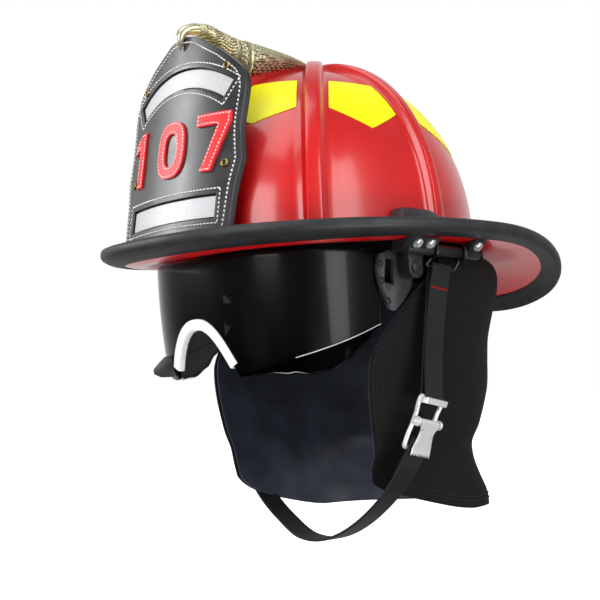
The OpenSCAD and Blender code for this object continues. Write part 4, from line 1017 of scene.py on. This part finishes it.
def ways(path, closed):
    """The way a path runs at each of its points."""
    n = len(path)
    ends = [((i + 1) % n, i - 1) if closed else (min(i + 1, n - 1), max(i - 1, 0)) for i in range(n)]
    return [(path[ahead] - path[behind]).normalized() for ahead, behind in ends]


def ribbon(name, path, wide, thick, side, closed=False):
    """Webbing swept along a path; side is the width's direction, one for all or one for each point."""
    w, t = wide / 2, thick / 2
    section = [(-w, -t * 0.4), (-w + 0.35, -t), (-w * 0.33, -t), (w * 0.33, -t), (w - 0.35, -t), (w, -t * 0.4)]
    section += [(a, -b) for a, b in reversed(section)]
    points = [Vector(p) for p in path]
    rings = []
    for i, way in enumerate(ways(points, closed)):
        s = Vector(side[i] if isinstance(side, list) else side)
        across = (s - way * s.dot(way)).normalized()
        out = way.cross(across)
        rings.append([points[i] + across * a + out * b for a, b in section])
    return swept(name, rings, closed, 2 * (wide + thick), run_length(points))


band_z, headband_h, headband_t, arch_gap, crown_h, crown_t, crown_w = -31, 30, 1.6, 1.9, 100, 1.4, 22
crown_z = band_z + headband_h + 0.5
long_half = (liner_front + liner_rear) / 2 - liner_t - arch_gap
long_middle = axis_y + (liner_rear - liner_front) / 2


def arch(half, place):
    """The path of an arch; place turns a distance from its middle and a height into a point."""
    return [place((half - crown_t / 2) * cosd(a), crown_z + (crown_h - crown_t / 2) * max(0, sind(a)) ** 0.85)
            for a in range(0, 181, 3)]


across_path = arch(head_half_w - arch_gap, lambda along, z: (along, axis_y, z))
long_path = arch(long_half, lambda along, z: (0, long_middle + along, z - 0.02))
arches = [ribbon("arch", across_path, crown_w, crown_t, (0, 1, 0)),
          ribbon("arch", long_path, crown_w, crown_t, (1, 0, 0))]
dress(join("crown_webbing_arches", arches), webbing_nylon, 50, "crown_straps", "webbing")

# %% [markdown]
# The headband is a strip of plastic with rounded edges that runs round the head as one closed ring.

# %% Headband
band_front, band_rear, band_n, band_ease = 89, 102, 2.25, 1.2


def band_at(a, off, z):
    return at(a, oval(a, head_half_w - band_ease, band_front if cosd(a) > 0 else band_rear, band_n) - off, z)


def band_section(a):
    low, high = band_z, band_z + headband_h
    inner = [(0.3, low), (0, low + 0.6), (0, (low + high) / 2), (0, high - 0.6), (0.3, high)]
    return [band_at(a, off, z) for off, z in inner + [(headband_t - off, z) for off, z in reversed(inner)]]


headband = swept("adjustable_headband", [band_section(360 * i / 144) for i in range(144)], closed=True)
dress(headband, band_plastic, 50, "headband", "band_plastic")

# %% [markdown]
# The brow pad is knitted cloth over soft foam. It is fullest along its middle and is quilted by a row
# of seams across it, where the foam is pulled down to the band.

# %% Brow pad
pad_a, pad_t, pad_cols, pad_rows, pad_seams = 62, 6, 80, 14, 7
pad_long, pad_round = 170, 70


def pad_at(c, row):
    """Rows go up the inner face and down the outer one."""
    a = lerp(-pad_a, pad_a, c / pad_cols)
    k = row / pad_rows
    face_in = k <= 0.75
    v = k / 0.75 if face_in else (1 - k) / 0.25
    end = ease(min(c, pad_cols - c) / 6)
    quilt = 1 - 0.32 * (1 - abs(math.sin(math.pi * pad_seams * c / pad_cols))) ** 3
    full = max(0, 1 - abs(2 * v - 1) ** 2.6) ** 0.5
    off = headband_t + 0.25 + (pad_t * (0.12 + 0.86 * full * quilt) * (0.25 + 0.75 * end) if face_in else 0)
    return band_at(a, off, band_z + 2 + (headband_h - 4) * v)


pad = grid("quilted_brow_pad", pad_cols, pad_rows, pad_at, pad_long, pad_round)
dress(close_holes(weld(pad, 0.01)), pad_knit, 60, "brow_pad", "pad_cloth")

# %% [markdown]
# The ratchet, brackets, caps, arms and pins are mouldings whose CAD solids already have every form.
# They only lack the small radius that each real edge has, and their grain.

# %% Mouldings from their solids
moulding_angle = 30
for node_rule, name_rule, edge, material, slot_name in (
        ("ratchet_housing", "ratchet_housing_moulding", 0.8, band_plastic, "band_plastic"),
        ("ratchet_knob", "fluted_ratchet_knob", 0.35, cap_nylon, "band_plastic"),
        ("bracket_{}", "side_bracket_{}", 0.45, bracket_nylon, "bracket_black"),
        ("bracket_cap_{}", "brim_cap_{}", 1.1, cap_nylon, "cap_plastic"),
        ("shield_bracket", "shield_foot_plate", 0.4, bracket_nylon, "bracket_black"),
        ("visor_arm_{}", "visor_arm_plate_{}", 0.6, arm_nylon, "arm_plastic"),
        ("visor_grip_tab", "visor_grip_leaf", 0.5, arm_nylon, "arm_plastic"),
        ("visor_rivets_{}", "arm_rivets_{}", 0.2, bracket_nylon, "arm_plastic"),
        ("pivot_pin_{}", "pivot_pin_turned_{}", 0.4, bracket_nylon, "bracket_black"),
        ("bracket_screws_{}", "bracket_screws_plated_{}", 0.15, zinc_steel, "bright_steel"),
        ("strap_end_loop", "strap_slider", 0.5, band_plastic, "band_plastic"),
        ("buckle_pin", "buckle_lever_pin", 0.2, buckle_steel, "bright_steel")):
    for side in ("left", "right") if "{}" in node_rule else ("",):
        node_name = node_rule.format(side)
        dress(softened(node_name, name_rule.format(side), edge), material, moulding_angle, node_name, slot_name)

# %% [markdown]
# The lens is one wrap-round sheet. Below a crisp crease its edge turns in and drops, deepest towards
# the cheeks, and an arch is cut out for the nose. It is laid out by rule, thickened and then cut.

# %% Visor lens
lens_half_w, lens_t, lens_n, lens_y, lens_front, lens_top = 91.5, 2.4, 2.75, -30, 95.5, -12
crease_middle, crease_side, crease_power, lens_tuck = -98, -62.5, 1.45, 0.0012
lip_drop = [(0, 0), (0.2, 0), (0.3, 2.2), (0.4, 4.6), (0.5, 8.6), (0.6, 13.4), (0.7, 16), (0.8, 14), (0.9, 8.5),
            (1, 1.5)]
nose_curve = [(0, -58.9), (7.5, -59.8), (13, -62.4), (18, -66.4), (22.5, -71.6), (27, -78.3), (32.6, -88.4),
              (36, -94.8)]
lens_cols, lens_high, lip_rows = 160, 26, 6
cutter_low, cutter_near, cutter_far = -125, -87, -145


def tucked(z):
    """How the lens draws in towards its foot: the share left of its length, and of its width."""
    k = 1 - lens_tuck * min(0, z - lens_top) ** 2 / lens_front
    return k, lerp(1, k, 0.3)


def lens_at(u, v, off=0):
    """u runs from -1 to 1, the cheeks, and v from the top edge to the crease."""
    z = lerp(lens_top, lerp(crease_middle, crease_side, abs(u) ** crease_power), v)
    k, k_wide = tucked(z)
    a = 90 * abs(u)
    r = oval(a, lens_half_w - off, lens_front - off, lens_n)
    return math.copysign(r * sind(a) * k_wide, u), lens_y - r * cosd(a) * k, z


def lip_at(u, share, off=0):
    """Below the crease: share runs from the crease, 0, to the lip's edge, 1."""
    x, y, z = lens_at(u, 1, off)
    k = next(i for i in range(len(lip_drop) - 1) if abs(u) <= lip_drop[i + 1][0] + 1e-9)
    (u0, d0), (u1, d1) = lip_drop[k:k + 2]
    drop = (0.6 + lerp(d0, d1, ease((abs(u) - u0) / (u1 - u0)))) * share
    out = math.hypot(x, y - lens_y)
    return x - x / out * drop * 0.5, y - (y - lens_y) / out * drop * 0.5, z - drop


def mirrored(curve):
    return [(-x, z) for x, z in curve[:0:-1]] + curve


def lens_point(i, j):
    u = 2 * i / lens_cols - 1
    if j <= lens_high:
        return lens_at(u, j / lens_high, lens_t)
    return lip_at(u, (j - lens_high) / lip_rows, lens_t)


lens = weld(grid("visor_lens_sheet", lens_cols, lens_high + lip_rows, lens_point), outward=False)
for material in (smoke_lens, lens_edge_painted_highlight):
    lens.data.materials.append(material)
# The rim faces take the second material, the light grey painted edge highlight.
thicken(lens, lens_t, -1, material_offset_rim=1)
nose_ring = [(p.x, p.y) for p in rounded(mirrored(nose_curve), (), 6)]
nose_ring += [(nose_ring[-1][0], cutter_low), (nose_ring[0][0], cutter_low)]
cut(lens, prism("nose_cutter", nose_ring, cutter_near, cutter_far))
dress(bevel(lens, 0.5, 4, 13), None, 14, "visor_lens", "lens_clear")
print("lens front at y =", round(min(p.co.y for p in lens.data.vertices) / MM, 2), "mm")

# %% [markdown]
# A soft white channel is pressed over the edge of the nose arch. Its section is a U with round lips,
# carried square to the arch.

# %% Nose trim
def lens_front_y(x, z):
    k, k_wide = tucked(z)
    return lens_y - lens_front * k * (1 - (abs(x) / (lens_half_w * k_wide)) ** lens_n) ** (1 / lens_n)


def nose_section(spot, way):
    w = lens_t / 2 + 0.55
    half = [(-2.9, 0), (-2.85, w * 0.7), (-2.5, w + 0.7), (-1.7, w + 1.05), (-0.4, w + 1.2), (3.2, w + 1.2),
            (4.5, w + 0.95), (5.1, w + 0.5), (5.2, w), (2, w), (-0.5, w)]
    y = lens_front_y(*spot) + lens_t / 2
    return [(spot.x - way.y * u, y + t, spot.y + way.x * u)
            for u, t in half + [(u, -t) for u, t in reversed(half[1:])]]


nose_line = [spot for spot, *_ in spaced(rounded(mirrored(nose_curve[:-1]), (), 8), 0.9)]
nose_trim = swept("nose_arch_trim", [
    nose_section(p, (nose_line[min(i + 2, len(nose_line) - 1)] - nose_line[max(0, i - 2)]).normalized())
    for i, p in enumerate(nose_line)])
dress(bevel(nose_trim, 0.6, 3, 60), nose_rubber, 50, "visor_nose_trim", "nose_rubber")

# %% [markdown]
# The neck protector is cut wide and hung from the shell's rim, so it falls in soft vertical folds that
# grow towards the hem. Outer cloth and lining share one rule and differ by how far in they lie.

# %% The hang of the neck protector
cape_n, cape_y, cape_t, lining_t, cape_hang = 2.4, 20, 2.4, 1.6, 0.6
hem_front, hem_fall, hem_corner, hem_tilt = -178, 25.7, 4, 11
fold_depth, fold_turn, ripple = 2.2, 900, 0.35
# of each level: its height, half width, depth in front and behind, and where its front edge stands
cape_levels = [
    (-12, 97, 114, 118, 24), (-17, 101, 124, 118, 20), (-24, 102, 129, 118, 14), (-33, 102, 129, 118, 4),
    (-42, 101.5, 126, 118, -8), (-60, 100.5, 118, 118, -28), (-74, 99.5, 113, 119, -40),
    (-88, 98.5, 112, 122, -49), (-112, 95, 112, 128, -54), (-138, 91, 100, 126, -51),
    (-152, 88, 89, 118, -45), (-165, 87, 91, 100, -37), (-178, 88, 98, 88, -29), (-192, 90, 107, 78, -24),
    (-208, 92, 106, 74, -16)]


def level_at(z, column):
    """One column of the levels at a height, on a smooth curve through them."""
    last = len(cape_levels) - 1
    z = min(cape_levels[0][0], max(cape_levels[last][0], z))
    i = next(k for k in range(last) if z >= cape_levels[k + 1][0])
    before, high, low, after = [cape_levels[min(last, max(0, k))] for k in range(i - 1, i + 3)]
    drop = high[0] - low[0]
    m0 = (low[column] - before[column]) / (before[0] - low[0]) * drop
    m1 = (after[column] - high[column]) / (high[0] - after[0]) * drop
    t = (high[0] - z) / drop
    t2, t3 = t * t, t ** 3
    return ((2 * t3 - 3 * t2 + 1) * high[column] + (t3 - 2 * t2 + t) * m0
            + (3 * t2 - 2 * t3) * low[column] + (t3 - t2) * m1)


def cape_end_a(z):
    """The angle at which the cape's front edge stands at a height."""
    return 90 + math.degrees(math.asin(min(0.98, max(-0.98, (cape_y - level_at(z, 4)) / level_at(z, 3)))))


def cape_plan(a, z, off=0):
    return oval(a, level_at(z, 1) - off, level_at(z, 3 if abs(a) > 90 else 2) - off, cape_n)


def cape_top_z(u):
    """Just below the shell's rounded root, over the cape's top edge."""
    a = u * cape_end_a(cape_levels[0][0])
    r = cape_plan(a, cape_levels[0][0])
    x, y = r * sind(a), cape_y + r * cosd(a) - axis_y
    a, r = math.degrees(math.atan2(abs(x), -y)), math.hypot(x, y)
    arc = root_fillet + shell_wall
    inward = min(arc - 0.5, max(0, root_fillet - (r + 1.3 - dome_plan(a))))
    under_z = brim_root_z(a) + shell_wall / 2 + root_fillet - math.sqrt(arc * arc - inward * inward)
    return under_z - cape_hang


def hem_z(u):
    """The hem rises to both front corners and hangs a little lower on the far side."""
    return (hem_front - hem_fall * (1 - (1 - min(1, 2 * (1 - abs(u)))) ** 1.3)
            + hem_corner * abs(u) ** 40 + hem_tilt * u * (1 - abs(u)))


def cape_at(u, v, off=0):
    """u runs round from -1 at one front edge to 1 at the other, v from the top edge to the hem."""
    z = lerp(cape_top_z(u), hem_z(u), v)
    a = u * cape_end_a(z)
    r = cape_plan(a, z, off)
    r += ease((v - 0.4) / 0.6) * fold_depth * (1 - u * u) * cosd(fold_turn * u)
    r += (ripple * ease(v / 0.2) * (1 - abs(u) ** 6)
          * (math.sin(9 * u + 5 * v) + 0.6 * math.sin(21 * u - 7 * v)))
    return r * sind(a), cape_y + r * cosd(a), z


print("neck protector hangs from", round(cape_top_z(0), 1), "to", round(hem_z(0), 1), "mm")

# %% [markdown]
# Each layer is a grid with a thickness, laid out on its inner face and thickened outwards. The
# printed size is measured on the layer itself: its width at half height, its length down the back
# and its area are those of the flat cut.

# %% Neck protector cloth
cape_cols, cape_rows, seam_allowance = 200, 84, 1.02

for name, off, thick, material, node_name, slot_name in (
        ("neck_protector_cloth", 0.1, cape_t - 0.2, outer_cloth, "neck_protector", "cape_cloth"),
        ("neck_protector_lining_cloth", cape_t + 0.15, lining_t, inner_cloth, "neck_protector_lining",
         "lining_cloth")):
    wide = run_length([cape_at(2 * i / 100 - 1, 0.5, off) for i in range(101)])
    long = run_length([cape_at(0, i / 50, off) for i in range(51)])
    layer = grid(name, cape_cols, cape_rows,
                 lambda i, j: cape_at(1 - 2 * i / cape_cols, j / cape_rows, off + thick), wide, long)
    area = sum(face.area for face in layer.data.polygons)
    bevel(thicken(layer, thick, -1), 0.32 * thick, 2, 60)
    dress(layer, material, 60, node_name, slot_name)
    wide, long = wide * MM, long * MM
    flat = (round(max(wide, area / long) * seam_allowance, 3), round(long * seam_allowance, 3))
    print("cut from", flat, "m, area", round(area, 4), "m2")

# %% [markdown]
# A double row of black stitching follows the hem and both front edges, and binds the two layers.

# %% Cape stitching
def over_cape(x, v, height):
    """A point of the cape, its two measures counted in thousandths."""
    return Vector(cape_at(x / 1000, v / 1000, -height))


hem_pitch, hem_lift, hem_thread_r = 3.4, 0.7, 0.3
hem_lines = []
for low, end in ((0.972, 0.987), (0.955, 0.978)):
    low, end = low * 1000, end * 1000
    path = [(-end, v) for v in range(60, int(low), 20)] + [(u, low) for u in range(-int(end), int(end), 5)]
    path += [(end, v) for v in range(int(low), 60, -20)]
    rings = []
    stations = spaced([over_cape(*spot, 0) for spot in path], hem_pitch / len(STITCH))[:-1]
    for i, (_, way, k, share) in enumerate(stations):
        spot = [lerp(before, after, share) for before, after in zip(path[k], path[k + 1])]
        centre = over_cape(*spot, 0)
        out = (over_cape(*spot, 1) - centre).normalized()
        lift = STITCH[i % len(STITCH)] * hem_lift
        rings.append([centre + way.cross(out) * c * hem_thread_r + out * (lift + s * hem_thread_r)
                      for c, s in AROUND[::2]])
    hem_lines.append(swept("seam", rings))
attach(join("neck_protector_stitching", hem_lines), dark_thread, "neck_protector")

# %% [markdown]
# Each strap ring is one bent wire: an eye round the brim's bar at either end, two legs and a straight
# foot that carries the webbing, with its corners bent to a radius.

# %% Strap rings
bar_x, bar_y, bar_z, bar_tilt, bar_r, ring_r, ring_half, ring_top_y = 110, 5, -11.8, -2.2, 4.2, 1.4, 14.8, 19
ring_foot, foot_slope, ring_bend = Vector((108.5, 12.8, -24.5)), 0.13, 3.2


def bent(points, radius, steps=6):
    """A polyline with its inner corners rounded off."""
    points = [Vector(p) for p in points]
    line = [points[0]]
    for a, b, c in zip(points, points[1:], points[2:]):
        reach = min(radius, (a - b).length / 2, (c - b).length / 2)
        p, q = b + (a - b).normalized() * reach, b + (c - b).normalized() * reach
        line += [p.lerp(b, t).lerp(b.lerp(q, t), t) for t in [k / steps for k in range(steps + 1)]]
    return line + [points[-1]]


def wire(name, path, r, closed=False, sides=16):
    """Round wire carried along a path, without twist."""
    path = [Vector(p) for p in path]
    across, rings = None, []
    for p, way in zip(path, ways(path, closed)):
        if across is None:
            across = way.orthogonal().normalized()
        across = (across - way * across.dot(way)).normalized()
        out = way.cross(across)
        rings.append([p + across * (r * cosd(360 * k / sides)) + out * (r * sind(360 * k / sides))
                      for k in range(sides)])
    return swept(name, rings, closed)


def on_bar(along, up, out):
    """A point near the bar: along it from its middle, up and outwards."""
    return Vector((bar_x + out, bar_y + along * cosd(bar_tilt) - up * sind(bar_tilt),
                   bar_z + along * sind(bar_tilt) + up * cosd(bar_tilt)))


def ring_corner(s):
    return ring_foot + Vector((0, s * ring_half, -s * ring_half * foot_slope))


ring_eye = bar_r + ring_r + 0.15
along_bar = ring_top_y - bar_y
head_z = bar_z - ring_eye - along_bar * math.tan(math.radians(bar_tilt))
heads = [Vector((bar_x, ring_top_y + s * ring_half, head_z)) for s in (-1, 1)]
ring_parts = [wire("eye", [on_bar(along_bar + s * ring_half, ring_eye * cosd(a), ring_eye * sind(a))
                           for a in range(0, 360, 8)], ring_r, True) for s in (-1, 1)]
legs = bent([heads[0], ring_corner(-1), ring_corner(1), heads[1]], ring_bend)
ring_parts.append(wire("legs", legs, ring_r - 0.06))
ring_left = join("strap_ring_wire_left", ring_parts)
ring_right = copy_of(ring_left, "strap_ring_wire_right")
for point in ring_right.data.vertices:
    point.co.x = -point.co.x
ring_right.data.flip_normals()
dress(ring_left, dark_wire, 60, "strap_ring_left", "wire_steel")
dress(ring_right, dark_wire, 60, "strap_ring_right", "wire_steel")

# %% [markdown]
# A fine raised bead runs along the crease and another along the lower edge of the lip. Their light grey
# is a painted highlight: the thin bright lines where the lens catches the light.

# %% Lens lines with painted highlight
crease_highlight_r, lip_highlight_r = 0.26, 0.3
painted_highlight_beads = []
for side in (-1, 1):
    crease = [lens_at(side * lerp(0.52, 0.995, k / 60), 1, 0.05) for k in range(61)]
    lip = [lip_at(side * lerp(0.345, 0.995, k / 90), 0.98, 0.12) for k in range(91)]
    painted_highlight_beads += [wire("bead", crease, crease_highlight_r, sides=8), wire("bead", lip, lip_highlight_r, sides=8)]
# The beads carry the light grey painted highlight.
attach(join("lens_painted_highlight_lines", painted_highlight_beads), lens_edge_painted_highlight, "visor_lens")

# %% [markdown]
# Webbing is sewn into a loop round each ring. Its plies lie close together between the ring and the
# buckle, or the strap's own fold on the far side.

# %% Strap loops
web_w, web_t, buckle_wire = 19, 2, 1.6
buckle_top, buckle_tilt, buckle_lean = Vector((110.6, -4.3, -116.3)), -12, 18
loop_end_steps, loop_ply_steps = 20, 30


def turned(v):
    """A vector of the buckle, tipped and leant as the buckle hangs."""
    x, y, z = v
    y, z = y * cosd(buckle_tilt) - z * sind(buckle_tilt), y * sind(buckle_tilt) + z * cosd(buckle_tilt)
    return Vector((x * cosd(buckle_lean) + z * sind(buckle_lean), y,
                   z * cosd(buckle_lean) - x * sind(buckle_lean)))


def buckle_at(v):
    return buckle_top + turned(v)


def loop_path(top, low, side_a, side_b, r_a, r_b, bow, nip):
    """Middle of the webbing round two rods, with its width's direction at every point, and the way
    its inner ply faces."""
    down = (low - top).normalized()
    out = side_a.cross(down).normalized()
    gap, ra, rb = (web_t * 0.5 + nip) / 2 + web_t * 0.1, r_a + web_t * 0.4, r_b + web_t * 0.4

    def turn_round(rod, r, side):
        angles = [180 * i / loop_end_steps for i in range(loop_end_steps + 1)]
        return [(rod + out * (r * cosd(a)) + down * (r * sind(a)), side) for a in angles]

    def ply(k, sign):
        away = bow * sind(180 * k) + sign * lerp(lerp(ra, rb, k), gap, sind(180 * k) ** 0.5)
        return top.lerp(low, k) + out * away, side_a.lerp(side_b, k)

    shares = [i / (loop_ply_steps + 1) for i in range(1, loop_ply_steps + 1)]
    path = turn_round(top, -ra, side_a) + [ply(k, 1) for k in shares]
    return path + turn_round(low, rb, side_b) + [ply(k, -1) for k in reversed(shares)], out


ring_side = (ring_corner(1) - ring_corner(-1)).normalized()
buckle_side = turned((0, 1, 0))
left_path, left_out = loop_path(ring_foot, buckle_top, ring_side, buckle_side, ring_r + 0.4, buckle_wire + 0.4,
                                bow=1.5, nip=0.3)
right_path, _ = loop_path(ring_foot, Vector((110.5, 12.4, -66)), ring_side, Vector((0, 1, 0)),
                          ring_r + 0.4, web_t * 0.8, bow=0.3, nip=web_t)
right_path = [(Vector((-p.x, p.y, p.z)), Vector((-s.x, s.y, s.z))) for p, s in right_path]
for name, path, node_name in (("strap_loop_webbing_left", left_path, "strap_loop_left"),
                              ("strap_loop_webbing_right", right_path, "strap_loop_right")):
    spots, sides = [list(column) for column in zip(*path)]
    dress(ribbon(name, spots, web_w, web_t * 0.7, sides, closed=True), webbing_nylon, 50, node_name, "webbing")
    print(name, round(run_length(spots + spots[:1])), "mm round")

# %% [markdown]
# The lower strap leaves the lever, crosses below the chin and climbs to the far loop. It is one smooth
# run of the same webbing.

# %% Lower strap
strap_route = [
    buckle_at((3, 0, -23)), buckle_at((3, 0, -38)),
    (100.5, -18.5, -160), (97.5, -22.9, -170), (92.5, -26.6, -178.5), (85, -29.2, -187),
    (73.5, -29, -195.5), (58, -26, -204), (43, -23, -210.5), (28, -19.5, -215.5), (13, -16, -219),
    (0, -13, -220.5), (-18, -8, -221), (-36, -2, -219), (-51, 3, -214.3), (-66, 6, -208),
    (-80, 8.5, -200.5), (-92, 9.5, -191), (-101, 10, -179.5), (-107.5, 10.5, -165), (-112, 11, -148),
    (-112.4, 11.5, -120), (-111.2, 12, -84), (-110, 12.5, -54.8)]
middles = [(Vector(a) + Vector(b)) / 2 for a, b in zip(strap_route, strap_route[1:])]
lower_path = rounded(middles, (), 8)
strap = ribbon("chin_strap_webbing", lower_path, web_w, web_t, (0, 1, 0))
dress(strap, webbing_nylon, 50, "strap_lower", "webbing")
print("lower strap", round(run_length(lower_path)), "mm long")

# %% [markdown]
# A bar tack holds the plies: a dense zigzag of red thread across the webbing below the ring.

# %% Bar tack
def on_near_loop(across, k, height):
    """A point on the outer face of the near loop: k runs from ring to buckle."""
    i = len(left_path) - k * (loop_ply_steps + 1)
    a = int(i)
    p = left_path[a][0].lerp(left_path[a + 1][0], i - a)
    return p + ring_side.lerp(buckle_side, k) * across - left_out * (web_t * 0.35 + height)


tack_half_w, tack_turns, tack_r = 8.6, 90, 0.16
tack_path = [on_near_loop(lerp(-tack_half_w, tack_half_w, i / tack_turns), 0.158 + 0.006 * (-1) ** i, 0.06)
             for i in range(tack_turns + 1)]
attach(wire("red_bar_tack", tack_path, tack_r, sides=6), red_thread, "strap_loop_left")

# %% [markdown]
# The buckle's frame is one bright wire: its rails draw in to the lever's pin and spread again, and two
# pierced ears are welded on. A flat bar crosses its front.

# %% Buckle frame
frame_w, frame_h, lever_up, lever_out, ear_r, ear_t = web_w + 5, 37, 17, 4.4, 3.3, 1.6
frame_bend, bar_bend, bar_w, bar_t = 2.2, 2.6, 4.4, 1.5
half = frame_w / 2
rail = [(half, -3), (half, -5), (half - 1.1, -11), (half - 1.1, -19), (half, -26), (half, -33)]
outline = [(0, 0), (half, 0)] + rail + [(half, -frame_h), (0, -frame_h), (-half, -frame_h)]
outline += [(-y, z) for y, z in rail[::-1]] + [(-half, 0), (0, 0)]
frame_wire = wire("frame", bent([buckle_at((0, y, z)) for y, z in outline], frame_bend)[:-1], buckle_wire, True)
sleeve_path = [buckle_at((0, lerp(0.6 - half, half - 0.6, i / 8), 0)) for i in range(9)]
bar_sleeve = wire("sleeve", sleeve_path, buckle_wire + 0.28)
ear_ring = [(-1.2, -lever_up - ear_r), (-1.2, -lever_up + ear_r)]
ear_ring += [(lever_out + ear_r * sind(a), -lever_up + ear_r * cosd(a)) for a in range(0, 181, 15)]
ears = [bevel(swept("ear", [[buckle_at((x, s * (half - 0.4) + y, z)) for x, z in ear_ring]
                            for y in (-ear_t / 2, ear_t / 2)]), 0.35, 2, 60) for s in (-1, 1)]
bar_path = [buckle_at(v) for v in ((1, -half, -2.2), (5.4, -half, -1.2), (5.4, half, -1.2), (1, half, -2.2))]
front_bar = ribbon("bar", bent(bar_path, bar_bend), bar_w, bar_t, turned((0, 0, 1)))
buckle = join("buckle_wire_frame", [frame_wire, bar_sleeve, front_bar] + ears)
dress(buckle, buckle_steel, 50, "buckle_frame", "bright_steel")

# %% [markdown]
# The lever is one sheet of the same steel. It curls round the pin, narrows to a waist and flares to a
# toothed edge that bites the webbing.

# %% Buckle lever
lever_w, lever_len, curl_r, lever_t = frame_w - 5, 24, 2.0, 1.4
curl_rows, plate_rows, lever_cols, teeth = 30, 40, 84, 6


def lever_at(i, j):
    """Rows run round the curl from behind, over the top, and down the plate."""
    y = lever_w * (i / lever_cols - 0.5)
    if j <= curl_rows:
        a = lerp(235, 0, j / curl_rows)
        return buckle_at((lever_out + curl_r * cosd(a), y, curl_r * sind(a) - lever_up))
    k = (j - curl_rows) / plate_rows
    z = -(lever_len - 0.1) * k
    wide = 1 - 0.26 * (1 - ease(abs(-z - 6.5) / (6.5 if -z < 6.5 else 15)))
    bite = abs(math.sin(math.pi * teeth * i / lever_cols)) ** 0.7
    z += 1.6 * bite * ease((k - 0.86) / 0.14)
    x = lerp(curl_r, 1.35, ease(k / 0.35)) + 0.5 * ease((k - 0.7) / 0.3)
    return buckle_at((lever_out + x, y * wide, z - lever_up))


lever = weld(grid("buckle_lever_plate", lever_cols, curl_rows + plate_rows, lever_at), outward=False)
dress(bevel(thicken(lever, lever_t, 0), 0.25, 2, 60), buckle_steel, 40, "buckle_lever", "bright_steel")

# %% [markdown]
# A plain pale floor, four large soft lamps and a low one, as in a product photographer's tent. A last
# lamp brightens the inside of the cape and shows in no reflection. The world is a dim grey for
# lighting and white where the camera looks at it. Reflections see a white backdrop behind the helmet,
# a dim room in front and no floor.

# %% Stage and light
def looked_at(tree):
    """A tree's light path, and a pattern: 1 where the camera looks, also through the lens."""
    rays = add(tree, "LightPath")
    return rays, calculate(tree, "MAXIMUM", (rays, "Is Camera Ray"), (rays, "Is Transmission Ray"))


floor_z, floor_size = -0.315, 14
for other in bpy.context.selected_objects:
    other.select_set(False)
bpy.ops.mesh.primitive_plane_add(size=floor_size, location=(0, 0, floor_z))
floor = bpy.context.object
floor.name = floor.data.name = "studio_floor"
paper, tree, bsdf = finish("white_background_paper", "#F4F4F4", Roughness=0.9)
rays, direct = looked_at(tree)
glow = add(tree, "Emission", None, Color=(1, 1, 1, 1), Strength=1.0), "Emission"
both = add(tree, "AddShader", None, _0=(bsdf, "BSDF"), _1=glow), "Shader"
blend = add(tree, "MixShader", None, _0=direct, _1=(bsdf, "BSDF"), _2=both), "Shader"
nothing = add(tree, "BsdfTransparent"), "BSDF"
shown = add(tree, "MixShader", None, _0=(rays, "Is Glossy Ray"), _1=blend, _2=nothing)
tree.links.new(shown.outputs["Shader"], tree.nodes["Material Output"].inputs["Surface"])
floor.data.materials.append(paper)

world = bpy.data.worlds.new("studio")
bpy.context.scene.world = world
world.use_nodes = True
sky = world.node_tree
rays, direct = looked_at(sky)
lighting = ramp(sky, direct, 0.0, 1.0, 0.4, 1.0)
way_out = add(sky, "TexCoord"), "Generated"
behind = add(sky, "VectorMath", {"operation": "DOT_PRODUCT"}, _0=way_out, _1=-camera_back), "Value"
backdrop = ramp(sky, behind, 0.2, 0.9, -0.24, 0.35, interpolation_type="SMOOTHSTEP")
height = add(sky, "SeparateXYZ", None, Vector=way_out), "Z"
reflected = calculate(sky, "ADD", backdrop, ramp(sky, height, -0.3, 0.0, -0.2, 0.0))
level, output = calculate(sky, "MULTIPLY_ADD", (rays, "Is Glossy Ray"), reflected, lighting, use_clamp=True)
sky_light = sky.nodes["Background"]
sky_light.inputs["Color"].default_value = (1, 1, 1, 1)
sky.links.new(level.outputs[output], sky_light.inputs["Strength"])

for name, place, target, size, watts in (
        ("key", (0.75, -1.6, 0.62), (0, 0, 0.02), (1.0, 1.0), 15),
        ("top", (0.2, -0.5, 1.7), (0, 0, 0.05), (1.3, 1.3), 12),
        ("side", (1.65, 0.45, 0.45), (0, 0, 0), (0.6, 1.5), 11),
        ("fill", (-1.15, -1.0, 0.52), (0, 0, 0.05), (0.36, 0.66), 9),
        ("low", (0.62, 0.02, -0.3), (0.08, -0.02, -0.06), (0.4, 0.16), 1.6),
        ("inside", (0.05, -1.0, -0.27), (0.0, 0.08, -0.13), (0.5, 0.25), 3.2)):
    light = bpy.data.lights.new(name, "AREA")
    light.shape = "RECTANGLE"
    light.size, light.size_y = size
    light.energy = watts
    lamp = bpy.data.objects.new(name, light)
    bpy.context.scene.collection.objects.link(lamp)
    lamp.visible_camera = False
    lamp.visible_glossy = name != "inside"
    way = Vector(target) - Vector(place)
    lamp.matrix_world = Matrix.Translation(Vector(place)) @ way.to_track_quat("-Z", "Y").to_matrix().to_4x4()
bpy.context.scene.view_settings.view_transform = "Standard"
print("stage set; floor at", floor_z, "m")
